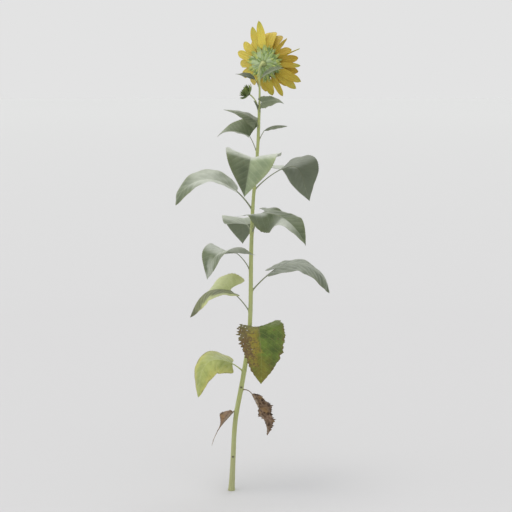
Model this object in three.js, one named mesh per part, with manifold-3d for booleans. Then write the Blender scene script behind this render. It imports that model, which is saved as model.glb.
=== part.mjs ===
// A sunflower plant, rooted in the ground: one leaning stem, broad leaves on long petioles,
// two dried leaves low down, a side bud, and one flower head that looks away from the front.
// Millimetres. +Z is up, +X is to the right of the front view and +Y goes to the back.
// The origin is the centre of the flat cut at ground level.
import * as THREE from "three";
import { mergeVertices } from "three/addons/utils/BufferGeometryUtils.js";
import Module from "manifold-3d";

const wasm = await Module();
wasm.setup();

const seatGap = 0.3; // clearance between a piece and what carries it
const up = new THREE.Vector3(0, 0, 1);

const colours = {
  stem: 0x9aa85c,
  leaf: 0x6f7d52,
  paleLeaf: 0xa9b84c,
  patchyLeaf: 0x5d7a2a,
  dryLeaf: 0x7a5c42,
  bract: 0x86aa6c,
  ray: 0xd3ab1f,
  disc: 0x5a3a1c,
};

// ---- the stem ----

// Points of the stem's axis from the ground to the back of the flower head, with the radius there.
const stemStations = [
  { x: 0, y: 0, z: 0, r: 11.4 },
  { x: 7, y: 2, z: 140, r: 9.2 },
  { x: 16, y: 4, z: 280, r: 8.8 },
  { x: 42, y: 5, z: 425, r: 8.8 },
  { x: 63, y: 3, z: 560, r: 8.3 },
  { x: 74, y: 0, z: 700, r: 7.8 },
  { x: 77, y: -3, z: 930, r: 7.4 },
  { x: 85, y: -2, z: 1130, r: 6.2 },
  { x: 100, y: 2, z: 1300, r: 5.7 },
  { x: 106, y: 4, z: 1430, r: 5.2 },
  { x: 109, y: 3, z: 1530, r: 3.6 },
  { x: 107, y: 2, z: 1600, r: 3.2 },
  { x: 110, y: 7, z: 1629, r: 3.8 },
  { x: 122, y: 25, z: 1641, r: 6.5 },
];
const stemSides = 10;
const stemRings = 30;

// A smooth value through evenly numbered stations, with t from 0 at the first to 1 at the last.
function through(values, t) {
  const last = values.length - 1;
  const i = Math.max(0, Math.min(last - 1, Math.floor(t * last)));
  const f = t * last - i;
  const at = (k) => values[Math.max(0, Math.min(last, k))];
  const before = (at(i + 1) - at(i - 1)) / 2;
  const after = (at(i + 2) - at(i)) / 2;
  return (
    (2 * f ** 3 - 3 * f ** 2 + 1) * at(i) +
    (f ** 3 - 2 * f ** 2 + f) * before +
    (3 * f ** 2 - 2 * f ** 3) * at(i + 1) +
    (f ** 3 - f ** 2) * after
  );
}

function stemAt(t) {
  const value = (key) => through(stemStations.map((station) => station[key]), t);
  return { point: new THREE.Vector3(value("x"), value("y"), value("z")), radius: value("r") };
}

// The stem's axis, radius and direction at a height, which rises all the way along it.
function stemAtHeight(height) {
  let low = 0;
  let high = 1;
  while (high - low > 1e-6) {
    const middle = (low + high) / 2;
    if (stemAt(middle).point.z < height) low = middle;
    else high = middle;
  }
  const step = 0.002;
  const direction = stemAt(Math.min(1, low + step)).point.sub(stemAt(Math.max(0, low - step)).point);
  return { ...stemAt(low), direction: direction.normalize() };
}

// ---- solids ----

function solidOf(geometry) {
  const bare = geometry.clone();
  bare.deleteAttribute("normal");
  bare.deleteAttribute("uv");
  const merged = mergeVertices(bare, 1e-3);
  return new wasm.Manifold(
    new wasm.Mesh({
      numProp: 3,
      vertProperties: new Float32Array(merged.attributes.position.array),
      triVerts: new Uint32Array(merged.index.array),
    }),
  );
}

function fuse(geometries) {
  const joined = geometries.map(solidOf).reduce((whole, piece) => whole.add(piece));
  const { numProp, vertProperties, triVerts } = joined.getMesh();
  const points = [];
  for (let i = 0; i < vertProperties.length; i += numProp) points.push(...vertProperties.slice(i, i + 3));
  const geometry = new THREE.BufferGeometry();
  geometry.setAttribute("position", new THREE.Float32BufferAttribute(points, 3));
  geometry.setIndex([...triVerts]);
  geometry.computeVertexNormals();
  return geometry;
}

// A closed tube round path(t), t from 0 to 1: a cylinder whose rings are moved on to the path.
// foot and head, if given, are the ways that the two end rings face, so that they lie flat on what they meet.
function tube({ path, radius, rings, sides, foot, head }) {
  const geometry = new THREE.CylinderGeometry(1, 1, 1, sides, rings);
  const frames = [];
  for (let i = 0; i <= rings; i++) {
    const t = i / rings;
    let along = path(Math.min(1, t + 0.01)).sub(path(Math.max(0, t - 0.01))).normalize();
    if (i === 0 && foot) along = foot.clone();
    if (i === rings && head) along = head.clone();
    const side = i ? frames[i - 1].side.clone() : new THREE.Vector3(1, 0, 0).cross(along);
    side.addScaledVector(along, -side.dot(along)).normalize();
    frames.push({ at: path(t), side, other: along.clone().cross(side), radius: radius(t) });
  }
  const position = geometry.attributes.position;
  for (let k = 0; k < position.count; k++) {
    const frame = frames[Math.round((position.getY(k) + 0.5) * rings)];
    const moved = frame.at
      .clone()
      .addScaledVector(frame.side, position.getZ(k) * frame.radius)
      .addScaledVector(frame.other, position.getX(k) * frame.radius);
    position.setXYZ(k, moved.x, moved.y, moved.z);
  }
  return geometry;
}

const mix = (a, b, t) => a + (b - a) * t;
const radians = THREE.MathUtils.degToRad;

// ---- blades: leaves, bracts and rays ----

// A bent blade's own frame. Its midrib starts at root, heads along ahead and bends in the plane of ahead and
// face, where face is the way its upper side looks. The lists hold degrees at even steps from the foot to the
// tip: pitch lifts the midrib, turn swings it to the left, roll lifts the left half and fold lifts both halves.
// place(x, y, lift) carries a point of the flat blade on to the bent one.
function bentBlade(blade) {
  const { root, ahead, face, length, width, pitch } = blade;
  const { turn = [0, 0], roll = [0, 0], fold = [0, 0], wave = 0, waves = 3 } = blade;
  const left = face.clone().cross(ahead).normalize();
  const steps = 24;
  const degrees = (list, s) => radians(through(list, Math.max(0, Math.min(1, s))));
  const risen = (s) => {
    const rise = degrees(pitch, s);
    return ahead.clone().multiplyScalar(Math.cos(rise)).addScaledVector(face, Math.sin(rise));
  };
  const along = (s) => {
    const swing = degrees(turn, s);
    return risen(s).multiplyScalar(Math.cos(swing)).addScaledVector(left, Math.sin(swing));
  };
  const leftOf = (s) => {
    const swing = degrees(turn, s);
    return left.clone().multiplyScalar(Math.cos(swing)).addScaledVector(risen(s), -Math.sin(swing));
  };
  const midrib = [root.clone()];
  for (let i = 0; i < steps; i++)
    midrib.push(midrib[i].clone().addScaledVector(along((i + 0.5) / steps), length / steps));

  const place = (x, y, lift) => {
    const s = x / length;
    const index = Math.min(steps - 1, Math.max(0, Math.floor(s * steps)));
    const past = x - (index / steps) * length;
    const at = midrib[index].clone().addScaledVector(along((index + 0.5) / steps), past);
    const across = leftOf(s);
    const over = along(s).cross(across);
    const edge = Math.min(1, (2 * Math.abs(y)) / width);
    const list = degrees(roll, s);
    const tilt = degrees(fold, s) + Math.sign(y) * list;
    // The lift is square to the half that the point is on, and on the midrib midway between both halves.
    const lean = y ? Math.sign(y) * tilt : list;
    const ripple = wave * edge ** 2 * Math.sin(2 * Math.PI * waves * s + (y > 0 ? 0 : 2));
    return at
      .addScaledVector(across, y * Math.cos(tilt) - lift * Math.sin(lean))
      .addScaledVector(over, Math.abs(y) * Math.sin(tilt) + lift * Math.cos(lean) + ripple);
  };
  return { place };
}

// Flat outlines. q runs along the margin from the blade's foot to its tip, and each gives the margin's x and y
// for a blade of unit length and unit half width. lobe is how far a heart's halves reach back beside the petiole,
// and shoulder is where it is widest.
const lobeAt = 0.09;
const narrowing = 1.35;
const outlines = {
  heart: (q, lobe, shoulder) => ({
    x: q - lobe * (q / lobeAt) * Math.exp(1 - q / lobeAt),
    y: (q / shoulder) ** (shoulder * narrowing) * ((1 - q) / (1 - shoulder)) ** ((1 - shoulder) * narrowing),
  }),
  oval: (q) => ({ x: q, y: 2.65 * q ** 0.62 * (1 - q) ** 0.8 }),
  strap: (q) => ({ x: q, y: Math.min(1, 0.4 + 1.9 * q) * (1 - q ** 6) ** 0.9 }),
  spear: (q) => ({ x: q, y: (0.75 + 0.9 * q) * (1 - q) ** 0.8 }),
  withered: (q) => ({ x: q, y: Math.exp(-(((q - 0.2) / 0.17) ** 2)) + 0.16 * (1 - q) }),
};

// A closed blade: a box whose long way becomes the midrib and whose short way becomes the blade's thickness.
function bladeGeometry(blade) {
  const { outline = "heart", lobe = 0.16, shoulder = 0.17, thick, tooth = 0 } = blade;
  const { stations = 10, across = 4 } = blade;
  const { place } = bentBlade(blade);
  const geometry = new THREE.BoxGeometry(1, 1, 1, stations, across, 1);
  const position = geometry.attributes.position;
  const blunt = 0.006; // the share left off at both ends, so that no edge is shorter than the blade is thick
  for (let k = 0; k < position.count; k++) {
    const row = Math.round((position.getX(k) + 0.5) * stations);
    const q = mix(blunt, 1 - blunt, row / stations);
    const u = position.getY(k) * 2;
    const margin = outlines[outline](q, lobe, shoulder);
    const notch = row % 2 && Math.abs(u) > 0.99 ? 1 - tooth : 1;
    const x = blade.length * mix(q ** 1.3, margin.x, u ** 2);
    const y = (blade.width / 2) * margin.y * u * notch;
    const p = place(x, y, position.getZ(k) * thick);
    position.setXYZ(k, p.x, p.y, p.z);
  }
  splitAlike(geometry);
  return geometry;
}

// Splits a blade's cells along the same diagonals above and below, mirrored from one half to the other, so that
// no triangle of a heart's lobes turns over.
function splitAlike(box) {
  const index = box.index.array;
  const [over, under] = box.groups.slice(4);
  const half = over.count / 2;
  const perCell = 6;
  for (const start of [over.start, under.start + half]) {
    for (let k = start; k < start + half; k += perCell) {
      const [a, b, d, , c] = index.slice(k, k + perCell);
      index.set([a, b, c, a, c, d], k);
    }
  }
}

// ---- leaves ----

// Each leaf: its node's height on the stem, its heading seen from above (0 is +X, 90 is to the back), the
// petiole's length and its slope at the stem and at the blade, then the blade as bentBlade takes it. aim is the
// blade's own heading where the petiole twists.
const leaves = {
  leaf_front: {
    node: 1228, heading: 264, petiole: 84, slope: [58, 26], length: 225, width: 218, shoulder: 0.18,
    pitch: [20, 6, -76, -84, -84], turn: [0, -1, -8, -9, -9], fold: [22, 15, 8, 6, 4], roll: [-6, -4, 0],
    wave: 1.5,
  },
  leaf_left: {
    node: 1102, heading: 186, petiole: 84, slope: [58, 42], length: 288, width: 142, lobe: 0.04,
    shoulder: 0.4,
    pitch: [36, 22, -12, -42, -78], fold: [12, 11, -14], roll: [-18, -17, -26], wave: 1.5,
  },
  leaf_right_back: {
    node: 1176, heading: 16, petiole: 120, slope: [46, 26], aim: 38, length: 226, width: 232,
    pitch: [14, 2, -70, -86, -88], turn: [0, 0, -10, -22, -26], fold: [16, 8, 4], roll: [-10, -16, -14],
    wave: 2,
  },
  leaf_back: {
    node: 1010, heading: 103, petiole: 80, slope: [24, 6], length: 178, width: 196,
    pitch: [28, 14, -62, -88, -88], turn: [0, 0, -4], fold: [11, 8, 4], wave: 2,
  },
  leaf_right_front: {
    node: 1016, heading: 304, petiole: 92, slope: [60, 44], aim: 322, length: 238, width: 172, lobe: 0.36,
    pitch: [8, -2, -16, -32, -44, -56, -68], turn: [0, 6, 8], fold: [6, -24, -29, 1, 22, 23, 20],
    roll: [6, 26, 31, 9, 22, 23, 20], wave: 2,
  },
  leaf_left_front: {
    node: 872, heading: 206, petiole: 84, slope: [64, 36], aim: 216, length: 192, width: 212,
    pitch: [12, 4, -44, -82, -86], turn: [0, -6, -12, -14], fold: [-2, 14, 14, 8, 6], roll: [6, 0, 0],
    wave: 1.5,
  },
  leaf_right_low: {
    node: 790, heading: 2, petiole: 118, slope: [50, 36], length: 266, width: 158, lobe: 0.22,
    shoulder: 0.45,
    pitch: [22, 6, -26, -50, -84], fold: [-3, -5, -15], roll: [9, 11, 19], wave: 2.5,
  },
  leaf_left_low: {
    node: 712, heading: 182, petiole: 102, slope: [58, 38], aim: 172, length: 216, width: 160, lobe: 0.28,
    shoulder: 0.34,
    pitch: [8, -4, -40, -62, -70], fold: [26, -18, -32], roll: [-30, -9, -12], wave: 1.5, pale: true,
  },
  leaf_patchy: {
    node: 616, heading: 312, petiole: 60, slope: [56, 28], aim: 272, length: 226, width: 194, lobe: 0.13,
    shoulder: 0.24,
    pitch: [-34, -76, -86, -88], turn: [6, 4, 0, -2], fold: [8, 16, 12], roll: [4, -8, -10], wave: 5,
    patchy: true,
  },
  leaf_yellow: {
    node: 474, heading: 188, petiole: 46, slope: [44, 30], aim: 196, length: 246, width: 136, lobe: 0.1,
    shoulder: 0.34,
    pitch: [28, 6, -56, -82, -86], fold: [-12, -12, -8], roll: [-28, -28, -22], wave: 1.8, pale: true,
  },
  leaf_upper_left: {
    node: 1404, heading: 250, petiole: 24, slope: [66, 56], aim: 186, length: 136, width: 90, lobe: 0.12,
    pitch: [40, 26, 12, 6], fold: [-12, -9, -5], roll: [-24, -10, -5], wave: 1.5,
  },
  leaf_upper_left_low: {
    node: 1318, heading: 168, petiole: 58, slope: [72, 60], length: 134, width: 138,
    pitch: [24, 16, 4, -16], fold: [34, 27, 8], roll: [-30, -25, -8], wave: 2,
  },
  leaf_upper_right: {
    node: 1362, heading: 350, petiole: 36, slope: [64, 58], length: 92, width: 50, outline: "oval",
    pitch: [42, 18, 0, -10], fold: [-21, -21], roll: [13, 13], wave: 1,
  },
  leaf_neck_left: {
    node: 1556, heading: 184, petiole: 30, slope: [70, 56], length: 76, width: 36, outline: "oval",
    pitch: [42, 18, 6, 4], fold: [4, 0], roll: [-34, -34, -4], wave: 1,
  },
  leaf_neck_right: {
    node: 1462, heading: 290, petiole: 40, slope: [70, 54], aim: 350, length: 88, width: 56, lobe: 0.2,
    shoulder: 0.24,
    pitch: [18, 6, -4, -44], fold: [-4, -6, -6], roll: [58, 44, 14], wave: 1.5,
  },
  leaf_neck_back: {
    node: 1470, heading: 214, petiole: 6, slope: [60, 60], length: 34, width: 15, outline: "oval",
    pitch: [70, 60, 50], fold: [20, 10], wave: 1,
  },
  leaf_under_head: {
    node: 1584, heading: 340, petiole: 10, slope: [44, 44], length: 92, width: 60, outline: "oval",
    pitch: [42, 26, 12, 4], fold: [6, 6], roll: [30, 24, 10], wave: 1,
  },
  leaf_dry_left: {
    node: 314, heading: 200, petiole: 6, slope: [-10, -30], length: 156, width: 72, outline: "withered",
    pitch: [-46, -46, -60, -76], fold: [30, 40, 30, 6], wave: 3, dry: true,
  },
  leaf_dry_right: {
    node: 402, heading: 334, petiole: 42, slope: [14, -50], length: 172, width: 96, outline: "oval",
    pitch: [-60, -60, -66, -100], fold: [48, 34, 44], roll: [-10, 16, -12], wave: 8, tooth: 0.3, dry: true,
  },
};
const petioleSides = 5;

const headingOf = (angle) => new THREE.Vector3(Math.cos(radians(angle)), Math.sin(radians(angle)), 0);

// The way out of the stem at a node, square to the stem, and the point on its surface there.
function nodeSeat(height, heading) {
  const stem = stemAtHeight(height);
  const level = headingOf(heading);
  const out = level.clone().addScaledVector(stem.direction, -level.dot(stem.direction)).normalize();
  return { level, out, foot: stem.point.clone().addScaledVector(out, stem.radius + seatGap) };
}

// A stalk that leaves foot along level and bends up or down from one slope to the other.
function stalkPath(foot, level, length, slope) {
  const steps = 16;
  const points = [foot.clone()];
  for (let i = 0; i < steps; i++) {
    const rise = radians(mix(slope[0], slope[1], (i + 0.5) / steps));
    const step = level.clone().multiplyScalar(Math.cos(rise)).addScaledVector(up, Math.sin(rise));
    points.push(points[i].clone().addScaledVector(step, length / steps));
  }
  const curve = new THREE.CatmullRomCurve3(points);
  return (t) => curve.getPoint(t);
}

function leafGeometry(leaf) {
  const { level, out, foot } = nodeSeat(leaf.node, leaf.heading);
  const path = stalkPath(foot, level, leaf.petiole, leaf.slope);
  const thick = Math.max(1.1, leaf.length / 90);
  const ahead = headingOf(leaf.aim ?? leaf.heading);
  const blade = { tooth: 0.05, ...leaf, root: path(1), ahead, face: up, thick };
  const { place } = bentBlade(blade);
  // The petiole runs on under the blade as its midrib.
  const thin = Math.max(1.2, leaf.length / 130);
  const reach = 0.3 * leaf.length;
  const share = leaf.petiole / (leaf.petiole + reach);
  const onBlade = (t) => place(((t - share) / (1 - share)) * reach, 0, -thin / 2);
  const stalk = (t) => (t < share ? path(t / share) : onBlade(t));
  const radius = (t) => mix(thin * 1.5, thin * 0.8, t);
  return fuse([
    bladeGeometry(blade),
    tube({ path: stalk, radius, rings: 9, sides: petioleSides, foot: out }),
  ]);
}

// ---- the flower head ----

const headFacing = new THREE.Vector3(0.38, 0.92, 0.03).normalize(); // the way that the disc looks
const headAcross = up.clone().cross(headFacing).normalize();
const headUp = headFacing.clone().cross(headAcross);
const headSides = 28;
const rimRadius = 50;
const rimDepth = 24; // from the back of the base to the middle of the band that the rays leave
const baseDepth = 32;
const baseProfile = [
  [0, 0],
  [8, 0],
  [16, 3],
  [34, 7],
  [46, 14],
  [rimRadius, 19],
  [rimRadius, baseDepth],
  [0, baseDepth],
];
const discRadius = 46;
const discHeight = 11;
const headBack = stemAt(1).point.addScaledVector(headFacing, seatGap);

// The point of the head at an angle round its axis, a radius and a depth from its back.
function onHead(angle, radius, depth) {
  return headBack
    .clone()
    .addScaledVector(headRadial(angle), radius)
    .addScaledVector(headFacing, depth);
}

// Outward from the head's axis, with 0 to the right and 90 at the top as seen from behind the head.
function headRadial(angle) {
  return headAcross
    .clone()
    .multiplyScalar(-Math.cos(radians(angle)))
    .addScaledVector(headUp, Math.sin(radians(angle)));
}

// A turned body about the axis through at, along axis.
function turned(profile, sides, at, axis) {
  const geometry = new THREE.LatheGeometry(profile.map(([r, h]) => new THREE.Vector2(r, h)), sides);
  geometry.applyQuaternion(new THREE.Quaternion().setFromUnitVectors(new THREE.Vector3(0, 1, 0), axis));
  return geometry.translate(at.x, at.y, at.z);
}

const bractRings = [
  { count: 11, radius: 22, depth: 3.5, length: 40, width: 22, pitch: [8, 10, -26], first: 10 },
  { count: 13, radius: 39, depth: 10, length: 28, width: 21, pitch: [16, 8, -24], first: 0 },
];
const bractThick = 1.4;

function flowerBase() {
  const pieces = [turned(baseProfile, headSides, headBack, headFacing)];
  for (const ring of bractRings)
    for (let i = 0; i < ring.count; i++) {
      const angle = ring.first + (360 * i) / ring.count;
      pieces.push(
        bladeGeometry({
          ...ring,
          root: onHead(angle, ring.radius, ring.depth),
          ahead: headRadial(angle),
          face: headFacing,
          fold: [10, 10],
          outline: "spear",
          stations: 3,
          across: 2,
          thick: bractThick,
        }),
      );
    }
  return fuse(pieces);
}

function seedDisc() {
  const profile = [[0, 0]];
  const steps = 7;
  for (let i = 0; i <= steps; i++) {
    const angle = radians((90 * i) / steps);
    profile.push([discRadius * Math.cos(angle) ** 0.7, 2 + discHeight * Math.sin(angle)]);
  }
  profile[1] = [discRadius, 0];
  profile[profile.length - 1][0] = 0;
  return turned(profile, headSides, onHead(0, 0, baseDepth + seatGap), headFacing);
}

// Rays in order round the head: the angle as headRadial takes it, the length, the bend towards the face, and
// lift, which is how far towards the face a ray stands that bends in front of its neighbours.
const rays = [
  { angle: 161, length: 90, pitch: [6, 20, 38] },
  { angle: 142, length: 88, pitch: [6, 20, 44] },
  { angle: 129, length: 80, pitch: [20, 50, 70], lift: 7 },
  { angle: 117, length: 101, pitch: [4, 8, 14], turn: [0, 4, 14], width: 25 },
  { angle: 99, length: 110, pitch: [0, 2, -4] },
  { angle: 84, length: 88, pitch: [8, 30, 84] },
  { angle: 73, length: 92, pitch: [4, 30, 84] },
  { angle: 62, length: 90, pitch: [6, 30, 80] },
  { angle: 47, length: 76, pitch: [2, 4, 10], roll: [30, 70], width: 18 },
  { angle: 34, length: 84, pitch: [40, 60, 80] },
  { angle: 21, length: 98, pitch: [-4, 2, 0], roll: [40, 80, 80], width: 16 },
  { angle: 9, length: 78, pitch: [4, 14, 16] },
  { angle: -4, length: 88, pitch: [8, 8, 4], width: 20 },
  { angle: -15, length: 80, pitch: [10, 20, 30] },
  { angle: -26, length: 106, pitch: [2, 4, 0] },
  { angle: -39, length: 101, pitch: [4, 6, 4] },
  { angle: -50, length: 90, pitch: [30, 50, 64], lift: 7 },
  { angle: -62, length: 89, pitch: [0, 4, 6], width: 25 },
  { angle: -82, length: 77, pitch: [8, 20, 34] },
  { angle: -99, length: 71, pitch: [14, 36, 50] },
  { angle: -116, length: 84, pitch: [26, 56, 74], lift: 7 },
  { angle: -134, length: 84, pitch: [18, 44, 64] },
  { angle: -157, length: 88, pitch: [12, 34, 56] },
  { angle: 180, length: 86, pitch: [10, 30, 52] },
];
const rayWidth = 32;
const rayThick = 1.2;
const rayStagger = 2.6; // every other ray leaves the rim this much nearer the face

function rayGeometry(ray, index) {
  const stagger = index % 2 ? rayStagger : -rayStagger;
  return bladeGeometry({
    width: rayWidth,
    ...ray,
    root: onHead(ray.angle, rimRadius + seatGap, rimDepth + stagger + (ray.lift ?? 0)),
    ahead: headRadial(ray.angle),
    face: headFacing,
    outline: "strap",
    stations: 5,
    across: 2,
    thick: rayThick,
  });
}

// ---- the side bud ----

const bud = { node: 1476, heading: 176, stalk: 62, slope: [82, 34], stalkRadius: 2.4, radius: 16, height: 32 };
const budSeat = 4; // how far from the bud's axis its bracts start
const budBracts = [
  { count: 7, length: 38, width: 22, pitch: [-6, 34, 70], depth: 2 },
  { count: 7, length: 34, width: 20, pitch: [24, 60, 88], depth: 4 },
];

function sideBud() {
  const { level, out, foot } = nodeSeat(bud.node, bud.heading);
  const path = stalkPath(foot, level, bud.stalk, bud.slope);
  const rise = radians(bud.slope[1]);
  const axis = level.clone().multiplyScalar(Math.cos(rise)).addScaledVector(up, Math.sin(rise));
  const profile = [];
  const steps = 6;
  for (let i = 0; i <= steps; i++) {
    const angle = (Math.PI * i) / steps;
    profile.push([bud.radius * Math.sin(angle), (bud.height / 2) * (1 - Math.cos(angle))]);
  }
  profile[0][0] = 0;
  profile[steps][0] = 0;
  const pieces = [
    tube({ path, radius: () => bud.stalkRadius, rings: 8, sides: petioleSides, foot: out }),
    turned(profile, 14, path(1).addScaledVector(axis, -1.5), axis),
  ];
  const side = new THREE.Vector3(0, 0, 1).cross(axis).normalize();
  const other = axis.clone().cross(side);
  budBracts.forEach((ring, row) => {
    for (let i = 0; i < ring.count; i++) {
      const angle = radians((360 * (i + row / 2)) / ring.count);
      const ahead = side.clone().multiplyScalar(Math.cos(angle)).addScaledVector(other, Math.sin(angle));
      const root = path(1).addScaledVector(axis, ring.depth).addScaledVector(ahead, budSeat);
      const shape = { outline: "spear", stations: 3, across: 2, thick: bractThick };
      pieces.push(bladeGeometry({ ...ring, ...shape, root, ahead, face: axis }));
    }
  });
  return fuse(pieces);
}

// ---- the whole plant ----

const plant = new THREE.Group();

function addNode(name, geometry, colour) {
  const material = new THREE.MeshStandardMaterial({ color: colour, roughness: 0.6, metalness: 0 });
  const mesh = new THREE.Mesh(geometry, material);
  mesh.name = name;
  plant.add(mesh);
}

function leafColour(leaf) {
  if (leaf.dry) return colours.dryLeaf;
  if (leaf.patchy) return colours.patchyLeaf;
  return leaf.pale ? colours.paleLeaf : colours.leaf;
}

addNode(
  "stem",
  tube({
    path: (t) => stemAt(t).point,
    radius: (t) => stemAt(t).radius,
    rings: stemRings,
    sides: stemSides,
    foot: up,
    head: headFacing,
  }),
  colours.stem,
);
for (const [name, leaf] of Object.entries(leaves)) addNode(name, leafGeometry(leaf), leafColour(leaf));
addNode("side_bud", sideBud(), colours.bract);
addNode("flower_base", flowerBase(), colours.bract);
addNode("seed_disc", seedDisc(), colours.disc);
rays.forEach((ray, i) => addNode(`ray_${String(i + 1).padStart(2, "0")}`, rayGeometry(ray, i), colours.ray));

export default plant;
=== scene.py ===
import math

import bpy
import numpy as np
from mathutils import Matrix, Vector


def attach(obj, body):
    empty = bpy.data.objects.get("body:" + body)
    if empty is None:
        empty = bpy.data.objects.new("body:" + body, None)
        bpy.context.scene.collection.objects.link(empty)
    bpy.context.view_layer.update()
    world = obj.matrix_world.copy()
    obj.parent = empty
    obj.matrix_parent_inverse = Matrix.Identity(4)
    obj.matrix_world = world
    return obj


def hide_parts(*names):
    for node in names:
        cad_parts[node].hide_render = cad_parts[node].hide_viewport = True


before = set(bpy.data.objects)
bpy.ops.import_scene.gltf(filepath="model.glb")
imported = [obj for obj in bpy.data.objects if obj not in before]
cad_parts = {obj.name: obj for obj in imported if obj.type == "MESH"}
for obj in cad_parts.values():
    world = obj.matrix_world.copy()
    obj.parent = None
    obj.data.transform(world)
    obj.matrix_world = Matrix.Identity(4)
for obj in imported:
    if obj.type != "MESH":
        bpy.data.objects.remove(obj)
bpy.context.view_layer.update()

# A sunflower plant rooted in the ground, with its one flower head turned away from the front. Shapes are worked
# out in millimetres. +Z is up, +X is to the right of the front view and +Y goes to the back.
mm = 0.001
up = np.array((0.0, 0.0, 1.0))
print("frame: %d nodes" % len(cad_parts))


def linear(hexColour):
    parts = [int(hexColour[i:i + 2], 16) / 255 for i in (1, 3, 5)]
    return tuple(c / 12.92 if c <= 0.04045 else ((c + 0.055) / 1.055) ** 2.4 for c in parts) + (1.0,)


class Graph:
    # the shader nodes of a material or of the surrounding light; hex colours go through linear
    def __init__(self, owner):
        owner.use_nodes = True
        self.owner, self.tree = owner, owner.node_tree
        self.tree.nodes.clear()

    def add(self, kind, inputs, out=0, **settings):
        node = self.tree.nodes.new("ShaderNode" + kind)
        for name, value in settings.items():
            setattr(node, name, value)
        for name, value in inputs.items():
            if isinstance(value, bpy.types.NodeSocket):
                self.tree.links.new(value, node.inputs[name])
            else:
                node.inputs[name].default_value = linear(value) if isinstance(value, str) else value
        return node.outputs[out]

    def maths(self, operation, a, b=0.0, c=0.0, clamp=False):
        return self.add("Math", {0: a, 1: b, 2: c}, operation=operation, use_clamp=clamp)

    def ranged(self, value, low, high, first, last, way="LINEAR"):
        return self.add("MapRange", {0: value, 1: low, 2: high, 3: first, 4: last}, interpolation_type=way)

    def blend(self, share, under, over):
        return self.add("Mix", {0: share, 6: under, 7: over}, 2, data_type="RGBA")

    def scaled(self, colour, scale):
        return self.add("VectorMath", {0: colour, "Scale": scale}, operation="SCALE")

    def noise(self, where, size, detail=2.0):
        return self.add("TexNoise", {"Vector": where, "Scale": 1 / (size * mm), "Detail": detail})

    def bump(self, height, strength, distance):
        return self.add("Bump", {"Strength": strength, "Distance": distance * mm, "Height": height})

    def mark(self, name):
        return self.add("Attribute", {}, 1, attribute_name=name)

    def split(self, vector):
        return list(self.add("SeparateXYZ", {0: vector}).node.outputs)

    def finish(self, inputs):
        surface = self.add("BsdfPrincipled", inputs)
        self.add("OutputMaterial", {"Surface": surface}, slice(0, 0))
        return self.owner

    def tissue(self, colour, rough, bump, sheen, sheenRough, tint, others=()):
        # living tissue: a thin glossy skin with short hairs that catch light at a shallow angle
        return self.finish({
            "Base Color": colour, "Roughness": rough, "Normal": bump, "IOR": 1.45,
            "Sheen Weight": sheen, "Sheen Roughness": sheenRough, "Sheen Tint": tint, **dict(others),
        })


def unit(vector):
    vector = np.asarray(vector, float)
    return vector / np.linalg.norm(vector, axis=-1, keepdims=True)


def mix(a, b, t):
    return a + (b - a) * t


def smooth(low, high, value):
    t = np.clip((value - low) / (high - low), 0, 1)
    return t * t * (3 - 2 * t)


def through(values, t):
    # a smooth value through evenly numbered stations, with t from 0 at the first to 1 at the last
    values, t = np.asarray(values, float), np.asarray(t, float)
    last = len(values) - 1
    i = np.clip(np.floor(t * last), 0, last - 1).astype(int)
    f = t * last - i
    if values.ndim > 1:
        f = f[..., None]
    at = lambda k: values[np.clip(k, 0, last)]
    before, after = (at(i + 1) - at(i - 1)) / 2, (at(i + 2) - at(i)) / 2
    return ((2 * f ** 3 - 3 * f ** 2 + 1) * at(i) + (f ** 3 - 2 * f ** 2 + f) * before
            + (3 * f ** 2 - 2 * f ** 3) * at(i + 1) + (f ** 3 - f ** 2) * after)


def crumple(x, y, size, seed):
    # an uneven surface, mostly between -1 and 1, whose bumps are about size across
    rng = np.random.default_rng(seed)
    total = np.zeros(np.broadcast(x, y).shape)
    for _ in range(6):
        heading, phase, scale = rng.uniform(0, 2 * np.pi), rng.uniform(0, 2 * np.pi), rng.uniform(0.7, 1.7)
        along = x * np.cos(heading) + y * np.sin(heading)
        total += np.sin(2 * np.pi * along * scale / size + phase)
    return total / 3.4


def roundAngles(sides):
    return 2 * np.pi * np.arange(sides) / sides


def around(side, other, angles):
    return side * np.cos(angles)[..., None] + other * np.sin(angles)[..., None]


def gridFaces(rows, columns, first=0, flip=False):
    at = first + np.arange(rows + 1)[:, None] * (columns + 1) + np.arange(columns + 1)[None, :]
    corners = [at[:-1, :-1], at[1:, :-1], at[1:, 1:], at[:-1, 1:]]
    return np.stack(corners[::-1] if flip else corners, -1).reshape(-1, 4)


def ringFaces(rings, sides):
    # quads between closed rings of points
    start, k = np.arange(rings - 1)[:, None] * sides, np.arange(sides)[None, :]
    a, b = start + k, start + (k + 1) % sides
    return np.stack([a, b, b + sides, a + sides], -1).reshape(-1, 4)


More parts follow.
